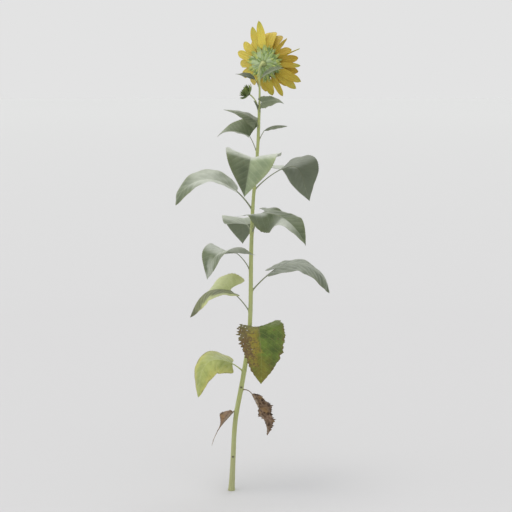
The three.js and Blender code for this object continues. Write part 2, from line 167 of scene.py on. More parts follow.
class Shell:
    # points, faces, each face's material number and each point's marks, gathered for one mesh
    def __init__(self):
        self.points, self.faces, self.numbers, self.count = [], [], [], 0
        self.marks = {"place": [], "marks": [], "shape": []}

    def add(self, points, faces, number=0, marks=None):
        points = np.asarray(points, float).reshape(-1, 3)
        self.points.append(points)
        for i, face in enumerate(faces):
            self.faces += (np.asarray(face) + self.count).tolist()
            each = number[i] if isinstance(number, list) else number
            self.numbers += np.broadcast_to(np.ravel(each), len(face)).tolist()
        for name, rows in self.marks.items():
            rows.append(np.broadcast_to((marks or {}).get(name, 0.0), points.shape))
        self.count += len(points)

    def addRings(self, rings, number=0, marks=None):
        # a closed body through rings of points, with a cap at each end
        count, sides = rings.shape[:2]
        rim = np.arange(sides)[None, :]
        self.add(rings, [ringFaces(count, sides), rim[:, ::-1], (count - 1) * sides + rim], number, marks)

    def piece(self, name, materials, slot, replaced=(), plain=False):
        mesh = bpy.data.meshes.new(name)
        mesh.from_pydata(np.concatenate(self.points) * mm, [], self.faces)
        for material in materials:
            mesh.materials.append(material)
        mesh.polygons.foreach_set("material_index", self.numbers)
        mesh.polygons.foreach_set("use_smooth", [True] * len(mesh.polygons))
        if not plain:
            for key, rows in self.marks.items():
                data = np.concatenate(rows).astype(np.float32)
                mesh.attributes.new(key, "FLOAT_VECTOR", "POINT").data.foreach_set("vector", data.ravel())
        mesh.validate()
        made = bpy.data.objects.new(name, mesh)
        bpy.context.scene.collection.objects.link(made)
        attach(made, "root")
        if replaced:
            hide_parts(*replaced)


def tubeFrames(points, firstSide):
    # each ring's direction, side and third way, carried along the points without twist
    ways = unit(np.gradient(points, axis=0))
    sides = np.empty_like(points)
    side = np.asarray(firstSide, float)
    for i, way in enumerate(ways):
        side = side - way * side.dot(way)
        side = side / np.linalg.norm(side)
        sides[i] = side
    return ways, sides, np.cross(ways, sides)


def tubeRings(points, reach, side, other):
    # a ring about each point, whose radius at each angle is in reach
    turns = around(side[:, None], other[:, None], roundAngles(reach.shape[1]))
    return points[:, None] + reach[..., None] * turns


def addStalk(shell, points, along, radii, section, firstSide, ribs, thin, number):
    # a petiole or the bud's stalk, with the marks of its fibres and ribs; section is its outline as shares of radii
    side, other = tubeFrames(points, firstSide)[1:]
    sides = len(section)
    angles = roundAngles(sides)
    run = np.broadcast_to(along[:, None] * mm, (len(points), sides))
    place = np.stack([angles * thin * mm + 0 * run, run, 0 * run + 0.1], -1)
    marks = np.stack([0.5 + 0.5 * np.cos(ribs * angles) + 0 * run, 0 * run, 0 * run], -1)
    shell.addRings(tubeRings(points, radii[:, None] * section, side, other), number,
                   {"place": place.reshape(-1, 3), "marks": marks.reshape(-1, 3)})


# The stem's axis from the ground to the back of the flower head, with the radius at each point.
stemStations = np.array((
    (0, 0, 0, 11.4), (7, 2, 140, 9.2), (16, 4, 280, 8.8), (42, 5, 425, 8.8), (63, 3, 560, 8.3),
    (74, 0, 700, 7.8), (77, -3, 930, 7.4), (85, -2, 1130, 6.2), (100, 2, 1300, 5.7), (106, 4, 1430, 5.2),
    (109, 3, 1530, 3.6), (107, 2, 1600, 3.2), (110, 7, 1629, 3.8), (122, 25, 1641, 6.5),
))
seatGap = 0.3  # between what grows out and what it grows on
stalkSteps = 48
stemShares = np.linspace(0, 1, 4001)
stemLine = through(stemStations, stemShares)


def headingOf(angle):
    return np.array((math.cos(math.radians(angle)), math.sin(math.radians(angle)), 0.0))


def growStalk(height, heading, length, footSlope, endSlope):
    # the level heading and the points of a stalk that leaves the stem and bends from one slope to the other
    t = np.interp(height, stemLine[:, 2], stemShares)
    here = through(stemStations, t)
    way = unit(through(stemStations, min(1, t + 0.002))[:3] - through(stemStations, max(0, t - 0.002))[:3])
    level = headingOf(heading)
    foot = here[:3] + unit(level - way * level.dot(way)) * (here[3] + seatGap)
    rises = np.radians(mix(footSlope, endSlope, (np.arange(stalkSteps) + 0.5) / stalkSteps))
    moves = level * np.cos(rises)[:, None] + up * np.sin(rises)[:, None]
    return level, np.vstack([foot, foot + np.cumsum(moves * length / stalkSteps, axis=0)])


class Blade:
    # A bent blade. Its midrib starts at root and heads along ahead. The lists hold degrees from foot to tip:
    # pitch lifts the midrib towards face, turn swings it left, roll lifts the left half, fold lifts both.
    steps = 120

    def __init__(self, root, ahead, face, length, width, pitch, turn=(0, 0), roll=(0, 0), fold=(0, 0),
                 wave=0, waves=3):
        self.root, self.ahead, self.face = (np.asarray(v, float) for v in (root, ahead, face))
        self.length, self.width, self.wave, self.waves = length, width, wave, waves
        self.pitch, self.turn, self.roll, self.fold = pitch, turn, roll, fold
        self.left = unit(np.cross(self.face, self.ahead))
        moves = self.along((np.arange(self.steps) + 0.5) / self.steps) * length / self.steps
        self.midrib = np.vstack([self.root, self.root + np.cumsum(moves, axis=0)])

    def degrees(self, values, s):
        return np.radians(through(values, np.clip(s, 0, 1)))

    def risen(self, s):
        rise = self.degrees(self.pitch, s)[..., None]
        return self.ahead * np.cos(rise) + self.face * np.sin(rise)

    def along(self, s):
        swing = self.degrees(self.turn, s)[..., None]
        return self.risen(s) * np.cos(swing) + self.left * np.sin(swing)

    def place(self, x, y, lift):
        x, y, lift = np.broadcast_arrays(*(np.asarray(v, float) for v in (x, y, lift)))
        s = x / self.length
        index = np.clip(np.floor(s * self.steps), 0, self.steps - 1).astype(int)
        beyond = (x - index * self.length / self.steps)[..., None]
        at = self.midrib[index] + self.along((index + 0.5) / self.steps) * beyond
        swing = self.degrees(self.turn, s)[..., None]
        across = self.left * np.cos(swing) - self.risen(s) * np.sin(swing)
        over = np.cross(self.along(s), across)
        edge, side = np.minimum(1, 2 * np.abs(y) / self.width), np.sign(y)
        roll = self.degrees(self.roll, s)
        tilt = self.degrees(self.fold, s) + side * roll
        lean = np.where(y == 0, roll, side * tilt)
        ripple = self.wave * edge ** 2 * np.sin(2 * np.pi * self.waves * s + np.where(y > 0, 0, 2))
        sideways = (y * np.cos(tilt) - lift * np.sin(lean))[..., None]
        upward = (np.abs(y) * np.sin(tilt) + lift * np.cos(lean) + ripple)[..., None]
        return at + across * sideways + over * upward


def heartOutline(q, lobe, shoulder):
    # its margin runs back beyond the foot by lobe and is widest at shoulder
    x = q - lobe * (q / 0.09) * np.exp(1 - q / 0.09)
    return x, (q / shoulder) ** (shoulder * 1.35) * ((1 - q) / (1 - shoulder)) ** ((1 - shoulder) * 1.35)


# the share of the half width that a margin stands out at each share q of the length
outlines = {
    "oval": lambda q: 2.65 * q ** 0.62 * (1 - q) ** 0.8,
    "strap": lambda q: np.minimum(1, 0.5 + 2.2 * q) * (1 - q ** 6) ** 0.9,
    "spear": lambda q: (0.75 + 0.9 * q) * (1 - q) ** 0.8,
    "scale": lambda q: (0.8 + 1.1 * q) * (1 - q) ** 1.2,
    "withered": lambda q: np.exp(-((q - 0.2) / 0.17) ** 2) + 0.16 * (1 - q),
}


def bladeGrid(length, width, outline, stations, across, lobe=0, shoulder=0, margin=None, gather=1.0):
    # flat points of a blade, row by row from the foot: x, y, q along it and u from -1 to 1 across it
    t = np.linspace(0, 1, stations + 1)[:, None]
    q = mix(0.0015, 0.9985, t ** gather)
    u = np.linspace(-1, 1, across + 1)[None, :]
    rimX, rimY = heartOutline(q, lobe, shoulder) if outline == "heart" else (q, outlines[outline](q))
    notch = 1 if margin is None else margin(q, u)
    x = length * mix(q ** 1.3, rimX, u ** 2)
    y = width / 2 * rimY * u * notch
    return (x, y, *np.broadcast_arrays(q, u))


def holeWalls(index, gone, count):
    # the strips that close a blade's thickness round each hole eaten through it
    walls = []
    for away, first, second in (((-1, 0), (0, 0), (0, 1)), ((0, 1), (0, 1), (1, 1)),
                                ((1, 0), (1, 1), (1, 0)), ((0, -1), (1, 0), (0, 0))):
        row, column = np.nonzero(~gone & np.roll(gone, (-away[0], -away[1]), (0, 1)))
        a = index[row + first[0], column + first[1]]
        b = index[row + second[0], column + second[1]]
        walls.append(np.stack([a, b, b + count, a + count], -1))
    return np.concatenate(walls)


def addBlade(shell, blade, grid, thick, relief=None, number=0, gone=None, **looks):
    # both skins of a blade and the strips that close its margin and its holes
    x, y, q, u = grid
    high = np.zeros_like(x) if relief is None else relief(x, y, q, u, False)
    low = high if relief is None else relief(x, y, q, u, True)
    thin = thick / 2 * (1 - 0.55 * np.abs(u) ** 6)
    top = blade.place(x, y, high + thin).reshape(-1, 3)
    bottom = blade.place(x, y, low - thin).reshape(-1, 3)
    count, rows, columns = len(top), x.shape[0] - 1, x.shape[1] - 1
    index = np.arange(count).reshape(x.shape)
    loop = np.concatenate([index[0, :], index[1:, -1], index[-1, -2::-1], index[-2:0:-1, 0]])
    following = np.roll(loop, -1)
    rim = np.stack([loop, following, following + count, loop + count], -1)
    faces = [gridFaces(rows, columns), gridFaces(rows, columns, count, True), rim]
    if gone is not None:
        kept = ~gone.ravel()
        faces = [faces[0][kept], faces[1][kept], rim, holeWalls(index, gone, count)]
    if not np.isscalar(number):
        number = [number, number, number[-1, -1]]
    flat = {}
    for name, values in looks.items():
        above = np.stack([np.broadcast_to(v, x.shape) for v in values], -1).reshape(-1, 3)
        below = above.copy()
        if name == "marks":
            below[:, 2] = 1  # the third mark is 1 on the under side
        flat[name] = np.vstack([above, below])
    shell.add(np.vstack([top, bottom]), faces, number, flat)


# Leaf lamina: thin living tissue grown between a net of raised veins, with short stiff hairs on both sides. The
# wax skin gives a soft shine, the hairs turn it grey-white at a shallow angle and the veins show paler. Where the
# blade faces up, a grey-white painted sheen is mixed into its colour: a painted highlight of light caught at a
# shallow angle.
leafLooks = {
    "greenLeafBlade": {
        "deep": "#525e42", "fresh": "#667152", "vein": "#8d977a", "margin": "#737c50", "under": "#7d8572",
        "yellow": "#a09f45", "brown": "#5a4a33", "paintedSheen": "#bcc1b4", "spots": 0.3, "roughness": 0.42, "sheen": 0.6,
        "bump": 0.5, "slot": "leaf",
    },
    "paleLeafBlade": {
        "deep": "#9ba653", "fresh": "#b4bd68", "vein": "#c6cc90", "margin": "#c4be6c", "under": "#b0b684",
        "yellow": "#c9c462", "brown": "#66603f", "paintedSheen": "#cdd3b0", "spots": 0.4, "roughness": 0.45, "sheen": 0.4,
        "bump": 0.5, "slot": "pale_leaf",
    },
    "patchyLeafBlade": {
        "deep": "#44581a", "fresh": "#667c2a", "vein": "#98a655", "margin": "#767a32", "under": "#7d884a",
        "yellow": "#a58d30", "brown": "#6e5a35", "paintedSheen": "#8a9467", "spots": 0.9, "roughness": 0.5, "sheen": 0.12,
        "bump": 0.8, "slot": "patchy_leaf",
    },
    "dryLeafBlade": {
        "deep": "#6f5a45", "fresh": "#8b7460", "vein": "#5c4a38", "margin": "#4f3f30", "under": "#94826f",
        "yellow": "#9d7c44", "brown": "#43342a", "paintedSheen": "#9c8c7c", "spots": 1.0, "roughness": 0.7, "sheen": 0.2,
        "bump": 0.9, "slot": "dry_leaf",
    },
}
veinSlant = 0.72   # how far a side vein runs ahead for each millimetre that it runs out
veinBend = 0.035   # how much it bends forward
netSize = 7.0      # mm across one field of the vein net, drawn about twice as coarse as it grows, to show


def leafMaterial(name, look):
    graph = Graph(bpy.data.materials.new(name))
    place = graph.mark("place")
    x, y, pitch = graph.split(place)
    yellow, brown, under = graph.split(graph.mark("marks"))
    edge, tone, paintedSheen = graph.split(graph.mark("shape"))

    # side veins stand where a slanting count of vein pitches comes to a whole number
    out = graph.maths("ABSOLUTE", y)
    steps = graph.maths("DIVIDE", out, pitch)
    run = graph.maths("MULTIPLY_ADD", steps, -veinSlant, graph.maths("DIVIDE", x, pitch))
    run = graph.maths("MULTIPLY_ADD", graph.maths("POWER", steps, 2.0), -veinBend, run)
    near = graph.maths("MULTIPLY", graph.maths("PINGPONG", run, 0.5), pitch)
    sideVein = graph.ranged(near, 0.5 * mm, 2.1 * mm, 1.0, 0.0, "SMOOTHSTEP")
    midVein = graph.ranged(out, 1.0 * mm, 3.2 * mm, 1.0, 0.0, "SMOOTHSTEP")
    net = graph.add("TexVoronoi", {"Vector": place, "Scale": 1 / (netSize * mm)},
                    feature="DISTANCE_TO_EDGE", voronoi_dimensions="2D")
    net = graph.ranged(net, 0.0, 0.16, 1.0, 0.0)

    blotch = graph.ranged(graph.noise(place, 34, 3.0), 0.36, 0.64, 0.0, 1.0)
    spot = graph.ranged(graph.noise(place, 9, 1.0), 0.66, 0.74, 0.0, look["spots"])
    rimmed = graph.maths("MULTIPLY", graph.maths("POWER", edge, 7.0), 0.6)
    pale = graph.maths("MULTIPLY_ADD", sideVein, 0.22, graph.maths("MULTIPLY", midVein, 0.3))
    colour = look["deep"]
    for share, over in (
            (blotch, "fresh"), (rimmed, "margin"), (yellow, "yellow"), (pale, "vein"),
            (graph.maths("MULTIPLY", net, 0.13), "vein"), (brown, "brown"), (spot, "brown"),
            (graph.maths("MULTIPLY", under, 0.7), "under")):
        colour = graph.blend(share, colour, look[over])
    # painted sheen: the pale colour mixed in where the blade faces up or has painted glare, a painted highlight; tone
    # carries painted light and shade on some leaves
    paintedSheenShare = graph.maths("MULTIPLY", graph.ranged(blotch, 0.0, 1.0, 0.75, 1.0), paintedSheen)
    colour = graph.blend(paintedSheenShare, graph.scaled(colour, tone), look["paintedSheen"])

    # the veins and the net lie in grooves under a fine grain
    grain = graph.noise(place, 2.5)
    relief = graph.maths("MULTIPLY_ADD", net, -0.5, grain)
    relief = graph.maths("MULTIPLY_ADD", graph.maths("MAXIMUM", sideVein, midVein), -0.8, relief)
    rough = graph.ranged(grain, 0.3, 0.7, look["roughness"] - 0.06, look["roughness"] + 0.08)
    return graph.tissue(colour, rough, graph.bump(relief, look["bump"], 0.6), look["sheen"], 0.4, "#dfe3d6")


leafMaterials = {name: leafMaterial(name, look) for name, look in leafLooks.items()}

# Stem and petioles: a living herbaceous stem, grown with lengthwise fibres under a waxy green skin. The eye gets
# pale ribs over darker grooves, a soft gloss, and corky brown where old leaves fell and at the foot.
stemLook = {
    "rib": "#c8d088", "groove": "#9ea664", "young": "#adb688", "old": "#a5a47a", "scar": "#4c4030",
    "fibreWidth": 1.6, "mottleWidth": 28, "roughness": 0.4, "petiole": "#8d937b", "petioleGroove": "#72785f",
}


def stemMaterial(name, ribColour, grooveColour):
    graph = Graph(bpy.data.materials.new(name))
    place = graph.mark("place")  # the way round, the way along and the height, in metres
    rib, scar, age = graph.split(graph.mark("marks"))
    # fibres are noise drawn out along the stem
    drawn = graph.add("Mapping", {"Vector": place, "Scale": (1.0, 0.035, 1.0)})
    fibre = graph.noise(drawn, stemLook["fibreWidth"], 3.0)
    share = graph.maths("ADD", rib, graph.maths("MULTIPLY_ADD", fibre, 0.9, -0.45), clamp=True)
    colour = graph.blend(share, grooveColour, ribColour)
    colour = graph.blend(graph.maths("MULTIPLY", age, 0.75), colour, stemLook["old"])
    mottle = graph.ranged(graph.noise(place, stemLook["mottleWidth"]), 0.4, 0.7, 0.0, 0.35)
    colour = graph.blend(mottle, colour, stemLook["young"])
    colour = graph.blend(scar, colour, stemLook["scar"])
    bump = graph.bump(graph.maths("MULTIPLY_ADD", scar, -0.6, fibre), 0.5, 0.5)
    rough = graph.ranged(fibre, 0.3, 0.7, stemLook["roughness"] - 0.05, stemLook["roughness"] + 0.1)
    return graph.tissue(colour, rough, bump, 0.2, 0.5, "#e2e4d2")


stemSkin = stemMaterial("greenStemSkin", stemLook["rib"], stemLook["groove"])
petioleSkin = stemMaterial("greyGreenPetioleSkin", stemLook["petiole"], stemLook["petioleGroove"])


# Small joined things: bristles, bracts and florets. Each has its own plain colour with a little unevenness in
# its relief, so that neighbours differ by colour and by how they catch the light.
def tissueMaterial(name, hexColour, roughness, sheen, grain=3.0, strength=0.35):
    graph = Graph(bpy.data.materials.new(name))
    where = graph.add("TexCoord", {}, 3)
    bump = graph.bump(graph.noise(where, grain), strength, 0.4)
    return graph.tissue(hexColour, roughness, bump, sheen, 0.4, "#e6eadb")


# bristles: stiff pale hairs that show as a soft fringe; dried stalk: brown, rough and without gloss
bristleSkin = tissueMaterial("whiteGreenBristle", "#c3c9a6", 0.45, 0.2)
dryStalk = tissueMaterial("driedBrownStalk", "#7d6a50", 0.75, 0.1, grain=2.0, strength=0.6)
print("green materials made")


stemTop = 1600  # mm, about the height of the neck
stemMake = {
    "sides": 72, "rings": 520, "ribs": 11, "ribDepth": 0.045, "fineRibs": 27, "fineDepth": 0.014,
    "fade": (1450, 1600), "twist": 0.9, "sway": 0.25, "bulge": 0.03, "corky": (20, 420),
    "flare": 2.4, "flareHeight": 16.0, "neckFlare": 4.5, "neckLength": 7.0,
    "nodeSwell": 0.16, "nodeLength": 9.0, "nodeRing": 0.05, "ringLength": 5.0,
    "bristles": 5200, "bristleLength": (1.2, 2.6), "bristleWidth": 0.16,
    # where old leaves have dropped: height, heading and size of the mark
    "scars": ((411, 262, 8.0), (352, 40, 6.5), (262, 95, 7.5), (232, 140, 6.0), (172, 20, 7.0), (136, 266, 8.0),
              (82, 120, 7.0), (48, 30, 7.0)),
    "scarRim": 0.09, "scarHollow": 0.07,   # as shares of the radius there
}

# Each leaf: its stalk is its node's height on the stem, its heading seen from above (0 is +X, 90 is to the back),
# the petiole's length and its slope at the stem and at the blade. size is the blade's length and width, and the
# bends are those of Blade. aim is the blade's own heading where the petiole twists, and tone lightens or darkens it.
# It has a share of painted sheen, a painted highlight on its parts that face up. crumple is how far it has
# shrivelled, and tooth and torn deepen the cuts of its margin.
usualLeaf = {
    "outline": "heart", "lobe": 0.16, "shoulder": 0.17, "turn": (0, 0), "roll": (0, 0), "fold": (0, 0), "wave": 0,
    "skin": "greenLeafBlade", "tone": 1.0, "paintedSheen": 0.75, "crumple": 0.0, "tooth": 0.0, "torn": 0.0,
}
leaves = {
    "leaf_front": {
        "stalk": (1228, 264, 84, 58, 26), "size": (225, 218), "shoulder": 0.18, "pitch": (20, 6, -76, -84, -84),
        "turn": (0, -1, -8, -9, -9), "fold": (22, 15, 8, 6, 4), "roll": (-6, -4, 0), "wave": 1.5, "paintedSheen": 1.0,
    },
    "leaf_left": {
        "stalk": (1102, 186, 84, 58, 42), "size": (288, 142), "lobe": 0.04, "shoulder": 0.4,
        "pitch": (36, 22, -12, -42, -78), "fold": (12, 11, -14), "roll": (-18, -17, -26), "wave": 1.5, "tone": 1.1,
        "paintedSheen": 1.0,
    },
    "leaf_right_back": {
        "stalk": (1176, 16, 120, 46, 26), "size": (226, 232), "aim": 38, "pitch": (14, 2, -70, -86, -88),
        "turn": (0, 0, -10, -22, -26), "fold": (16, 8, 4), "roll": (-10, -16, -14), "wave": 2, "tone": 0.92,
        "paintedSheen": 1.0,
    },
    "leaf_back": {
        "stalk": (1010, 103, 80, 24, 6), "size": (178, 196), "pitch": (28, 14, -62, -88, -88), "turn": (0, 0, -4),
        "fold": (11, 8, 4), "wave": 2, "tone": 1.15, "paintedSheen": 0.65,
    },
    "leaf_right_front": {
        "stalk": (1016, 304, 92, 60, 44), "size": (238, 172), "aim": 322, "lobe": 0.36,
        "pitch": (8, -2, -16, -32, -44, -56, -68), "turn": (0, 6, 8), "fold": (6, -24, -29, 1, 22, 23, 20),
        "roll": (6, 26, 31, 9, 22, 23, 20), "wave": 2,
    },
    "leaf_left_front": {
        "stalk": (872, 206, 84, 64, 36), "size": (192, 212), "aim": 216, "pitch": (12, 4, -44, -82, -86),
        "turn": (0, -6, -12, -14), "fold": (-2, 14, 14, 8, 6), "roll": (6, 0, 0), "wave": 1.5, "tone": 1.05,
        "paintedSheen": 1.0,
    },
    "leaf_right_low": {
        "stalk": (790, 2, 118, 50, 36), "size": (266, 158), "lobe": 0.22, "shoulder": 0.45,
        "pitch": (22, 6, -26, -50, -84), "fold": (-3, -5, -15), "roll": (9, 11, 19), "wave": 2.5, "tone": 0.76,
        "paintedSheen": 0.4,
    },
    "leaf_left_low": {
        "stalk": (712, 182, 102, 58, 38), "size": (216, 160), "aim": 172, "lobe": 0.28, "shoulder": 0.34,
        "pitch": (8, -4, -40, -62, -70), "fold": (26, -18, -32), "roll": (-30, -9, -12), "wave": 1.5,
        "skin": "paleLeafBlade", "paintedSheen": 0.0,
    },
    "leaf_patchy": {
        "stalk": (616, 312, 60, 56, 28), "size": (226, 194), "aim": 272, "lobe": 0.13, "shoulder": 0.24,
        "pitch": (-34, -76, -86, -88), "turn": (6, 4, 0, -2), "fold": (8, 16, 12), "roll": (4, -8, -10), "wave": 5,
        "skin": "patchyLeafBlade", "crumple": 1.6, "torn": 0.32,
    },
    "leaf_yellow": {
        "stalk": (474, 188, 46, 44, 30), "size": (246, 136), "aim": 196, "lobe": 0.1, "shoulder": 0.34,
        "pitch": (28, 6, -56, -82, -86), "fold": (-12, -12, -8), "roll": (-28, -28, -22), "wave": 1.8,
        "skin": "paleLeafBlade", "tone": 0.86, "paintedSheen": 0.2,
    },
    "leaf_upper_left": {
        "stalk": (1404, 250, 24, 66, 56), "size": (136, 90), "aim": 186, "lobe": 0.12, "pitch": (40, 26, 12, 6),
        "fold": (-12, -9, -5), "roll": (-32, -22, -12), "wave": 1.5, "tone": 0.8, "paintedSheen": 0.15,
    },
    "leaf_upper_left_low": {
        "stalk": (1318, 168, 58, 72, 60), "size": (134, 138), "pitch": (24, 16, 4, -16, -50), "fold": (34, 27, 8),
        "roll": (-30, -25, -8), "wave": 2, "tone": 1.15, "paintedSheen": 0.5,
    },
    "leaf_upper_right": {
        "stalk": (1362, 350, 36, 64, 58), "size": (92, 50), "outline": "oval", "pitch": (42, 18, 0, -10),
        "fold": (-21, -21), "roll": (13, 13), "wave": 1, "tone": 0.8, "paintedSheen": 0.2,
    },
    "leaf_neck_left": {
        "stalk": (1556, 184, 30, 70, 56), "size": (76, 36), "outline": "oval", "pitch": (42, 18, 6, 4),
        "fold": (4, 0), "roll": (-34, -34, -4), "wave": 1, "tone": 0.45, "paintedSheen": 0.0,
    },
    "leaf_neck_right": {
        "stalk": (1462, 290, 40, 70, 54), "size": (88, 56), "aim": 350, "lobe": 0.2, "shoulder": 0.24,
        "pitch": (18, 6, -4, -44), "fold": (-4, -6, -6), "roll": (58, 44, 14), "wave": 1.5, "paintedSheen": 0.4,
    },
    "leaf_neck_back": {
        "stalk": (1470, 214, 6, 60, 60), "size": (34, 15), "outline": "oval", "pitch": (70, 60, 50),
        "fold": (20, 10), "wave": 1, "tone": 0.8,
    },
    "leaf_under_head": {
        "stalk": (1584, 340, 10, 44, 44), "size": (92, 60), "outline": "oval", "pitch": (42, 26, 12, 4),
        "fold": (6, 6), "roll": (30, 24, 10), "wave": 1, "tone": 0.9, "paintedSheen": 0.0,
    },
    "leaf_dry_left": {
        "stalk": (314, 200, 6, -10, -30), "size": (156, 72), "outline": "withered", "pitch": (-46, -46, -60, -76),
        "fold": (30, 40, 30, 6), "wave": 3, "skin": "dryLeafBlade", "crumple": 1.5, "tone": 1.35,
    },
    "leaf_dry_right": {
        "stalk": (402, 334, 42, 14, -50), "size": (172, 96), "outline": "oval", "pitch": (-60, -60, -66, -100),
        "fold": (48, 34, 44), "roll": (-10, 16, -12), "wave": 8, "tooth": 0.3, "skin": "dryLeafBlade",
        "crumple": 4.0, "tone": 1.2,
    },
}
leafMake = {
    "thickness": 0.9,      # mm, a little over a real leaf so that its margin shows
    "sideVeins": 9.0,      # side veins on each half from foot to tip
    "pucker": 0.9,         # mm that the lamina bulges between side veins
    "groove": 0.25, "ridge": 0.7, "veinWidth": 1.7,
    "sway": 1.2, "swaySize": 55,   # a wider unevenness of the whole lamina
    "toothPitch": 7.5, "toothDepth": 3.2, "toothRise": 0.72, "raggedSize": 17, "tornSize": 8,
    "largeGrid": (132, 52), "smallGrid": (84, 32), "largeFrom": 150,
    "petioleSides": 14, "petioleGroove": 0.22, "petioleRibs": 5,
    # holes of the torn leaf: their size, and the part of it that has them, across and along
    "holeSize": 13, "holeLevel": 0.45, "holesAcross": (-0.93, -0.42), "holesAlong": (0.03, 0.5),
}


def bristlesOn(shell, rng, feet, ways, lengths, width):
    # closed three-sided spikes, each sunk a little into the skin it grows from
    count = len(feet)
    spare = unit(np.cross(ways, rng.normal(size=(count, 3))))
    third = np.cross(ways, spare)
    corners = [feet - ways * 0.2 + (spare * math.cos(angle) + third * math.sin(angle)) * width
               for angle in roundAngles(3)]
    points = np.stack(corners + [feet + ways * lengths[:, None]], 1)
    first = np.arange(count)[:, None] * 4
    shell.add(points, [first + np.array(corner) for corner in ((0, 1, 3), (1, 2, 3), (2, 0, 3), (2, 1, 0))])


def makeStem():
    make = stemMake
    line = through(stemStations, np.linspace(0, 1, make["rings"]))
    points, radii = line[:, :3], line[:, 3].copy()
    ways, side, other = tubeFrames(points, (1, 0, 0))
    ways[0], ways[-1] = up, headFacing
    angles = roundAngles(make["sides"])
    heights = points[:, 2][:, None]
    radii += make["flare"] * np.exp(-points[:, 2] / make["flareHeight"])
    radii += make["neckFlare"] * np.exp(-np.linalg.norm(points - points[-1], axis=1) / make["neckLength"])
    turned = angles + make["twist"] * heights / stemTop
    rib = np.cos(make["ribs"] * turned + make["sway"] * np.sin(heights / 210))
    fine = np.cos(make["fineRibs"] * turned + 2.1)
    share = 1 + (1 - 0.5 * smooth(*make["fade"], heights)) * (make["ribDepth"] * rib + make["fineDepth"] * fine)
    share += make["bulge"] * np.sin(heights / 47) * np.sin(angles + heights / 80)
    for node, heading in [leaf["stalk"][:2] for leaf in (*leaves.values(), sideBud)]:
        level = headingOf(heading)
        ring = np.argmin(np.abs(points[:, 2] - node))
        toward = (0.5 + 0.5 * np.cos(angles - math.atan2(level.dot(other[ring]), level.dot(side[ring])))) ** 2
        share += make["nodeSwell"] * toward * np.exp(-((heights - node + 2) / make["nodeLength"]) ** 2)
        share += make["nodeRing"] * np.exp(-((heights - node) / make["ringLength"]) ** 2)
    scars = np.zeros_like(share)
    for height, heading, size in make["scars"]:
        away = np.angle(np.exp(1j * (angles - math.radians(heading)))) * 9.0
        distance = np.sqrt(away ** 2 + ((heights - height) * 1.25) ** 2) / size
        share += make["scarRim"] * np.exp(-((distance - 0.95) / 0.3) ** 2)
        share -= make["scarHollow"] * np.exp(-(distance / 0.6) ** 2)
        scars = np.maximum(scars, 1 - smooth(0.35, 0.8, distance))
    rings = tubeRings(points, radii[:, None] * share, side, other)
    rings[0, :, 2] = 0
    full = np.ones_like(share)
    place = np.stack([angles * radii[:, None] * mm, full * heights * mm, full * 0.3], -1)
    marks = np.stack([0.5 + 0.5 * rib, scars, (1 - smooth(*make["corky"], heights)) * full], -1)
    shell = Shell()
    shell.addRings(rings, 0, {"place": place.reshape(-1, 3), "marks": marks.reshape(-1, 3)})
    shell.piece("ribbedStem", [stemSkin], "stem", ["stem"])

    rng = np.random.default_rng(11)
    ring = rng.integers(3, make["rings"] - 6, make["bristles"])
    feet = rings[ring, rng.integers(0, make["sides"], make["bristles"])]
    out = unit(feet - points[ring])
    grow = unit(out + ways[ring] * rng.uniform(-0.1, 0.5, len(feet))[:, None] + rng.normal(size=(len(feet), 3)) * 0.12)
    bristles = Shell()
    bristlesOn(bristles, rng, feet, grow, rng.uniform(*make["bristleLength"], len(feet)), make["bristleWidth"])
    bristles.piece("stemBristles", [bristleSkin], "stem", plain=True)


def veinCount(x, y, pitch):
    steps = np.abs(y) / pitch
    return x / pitch - veinSlant * steps - veinBend * steps ** 2


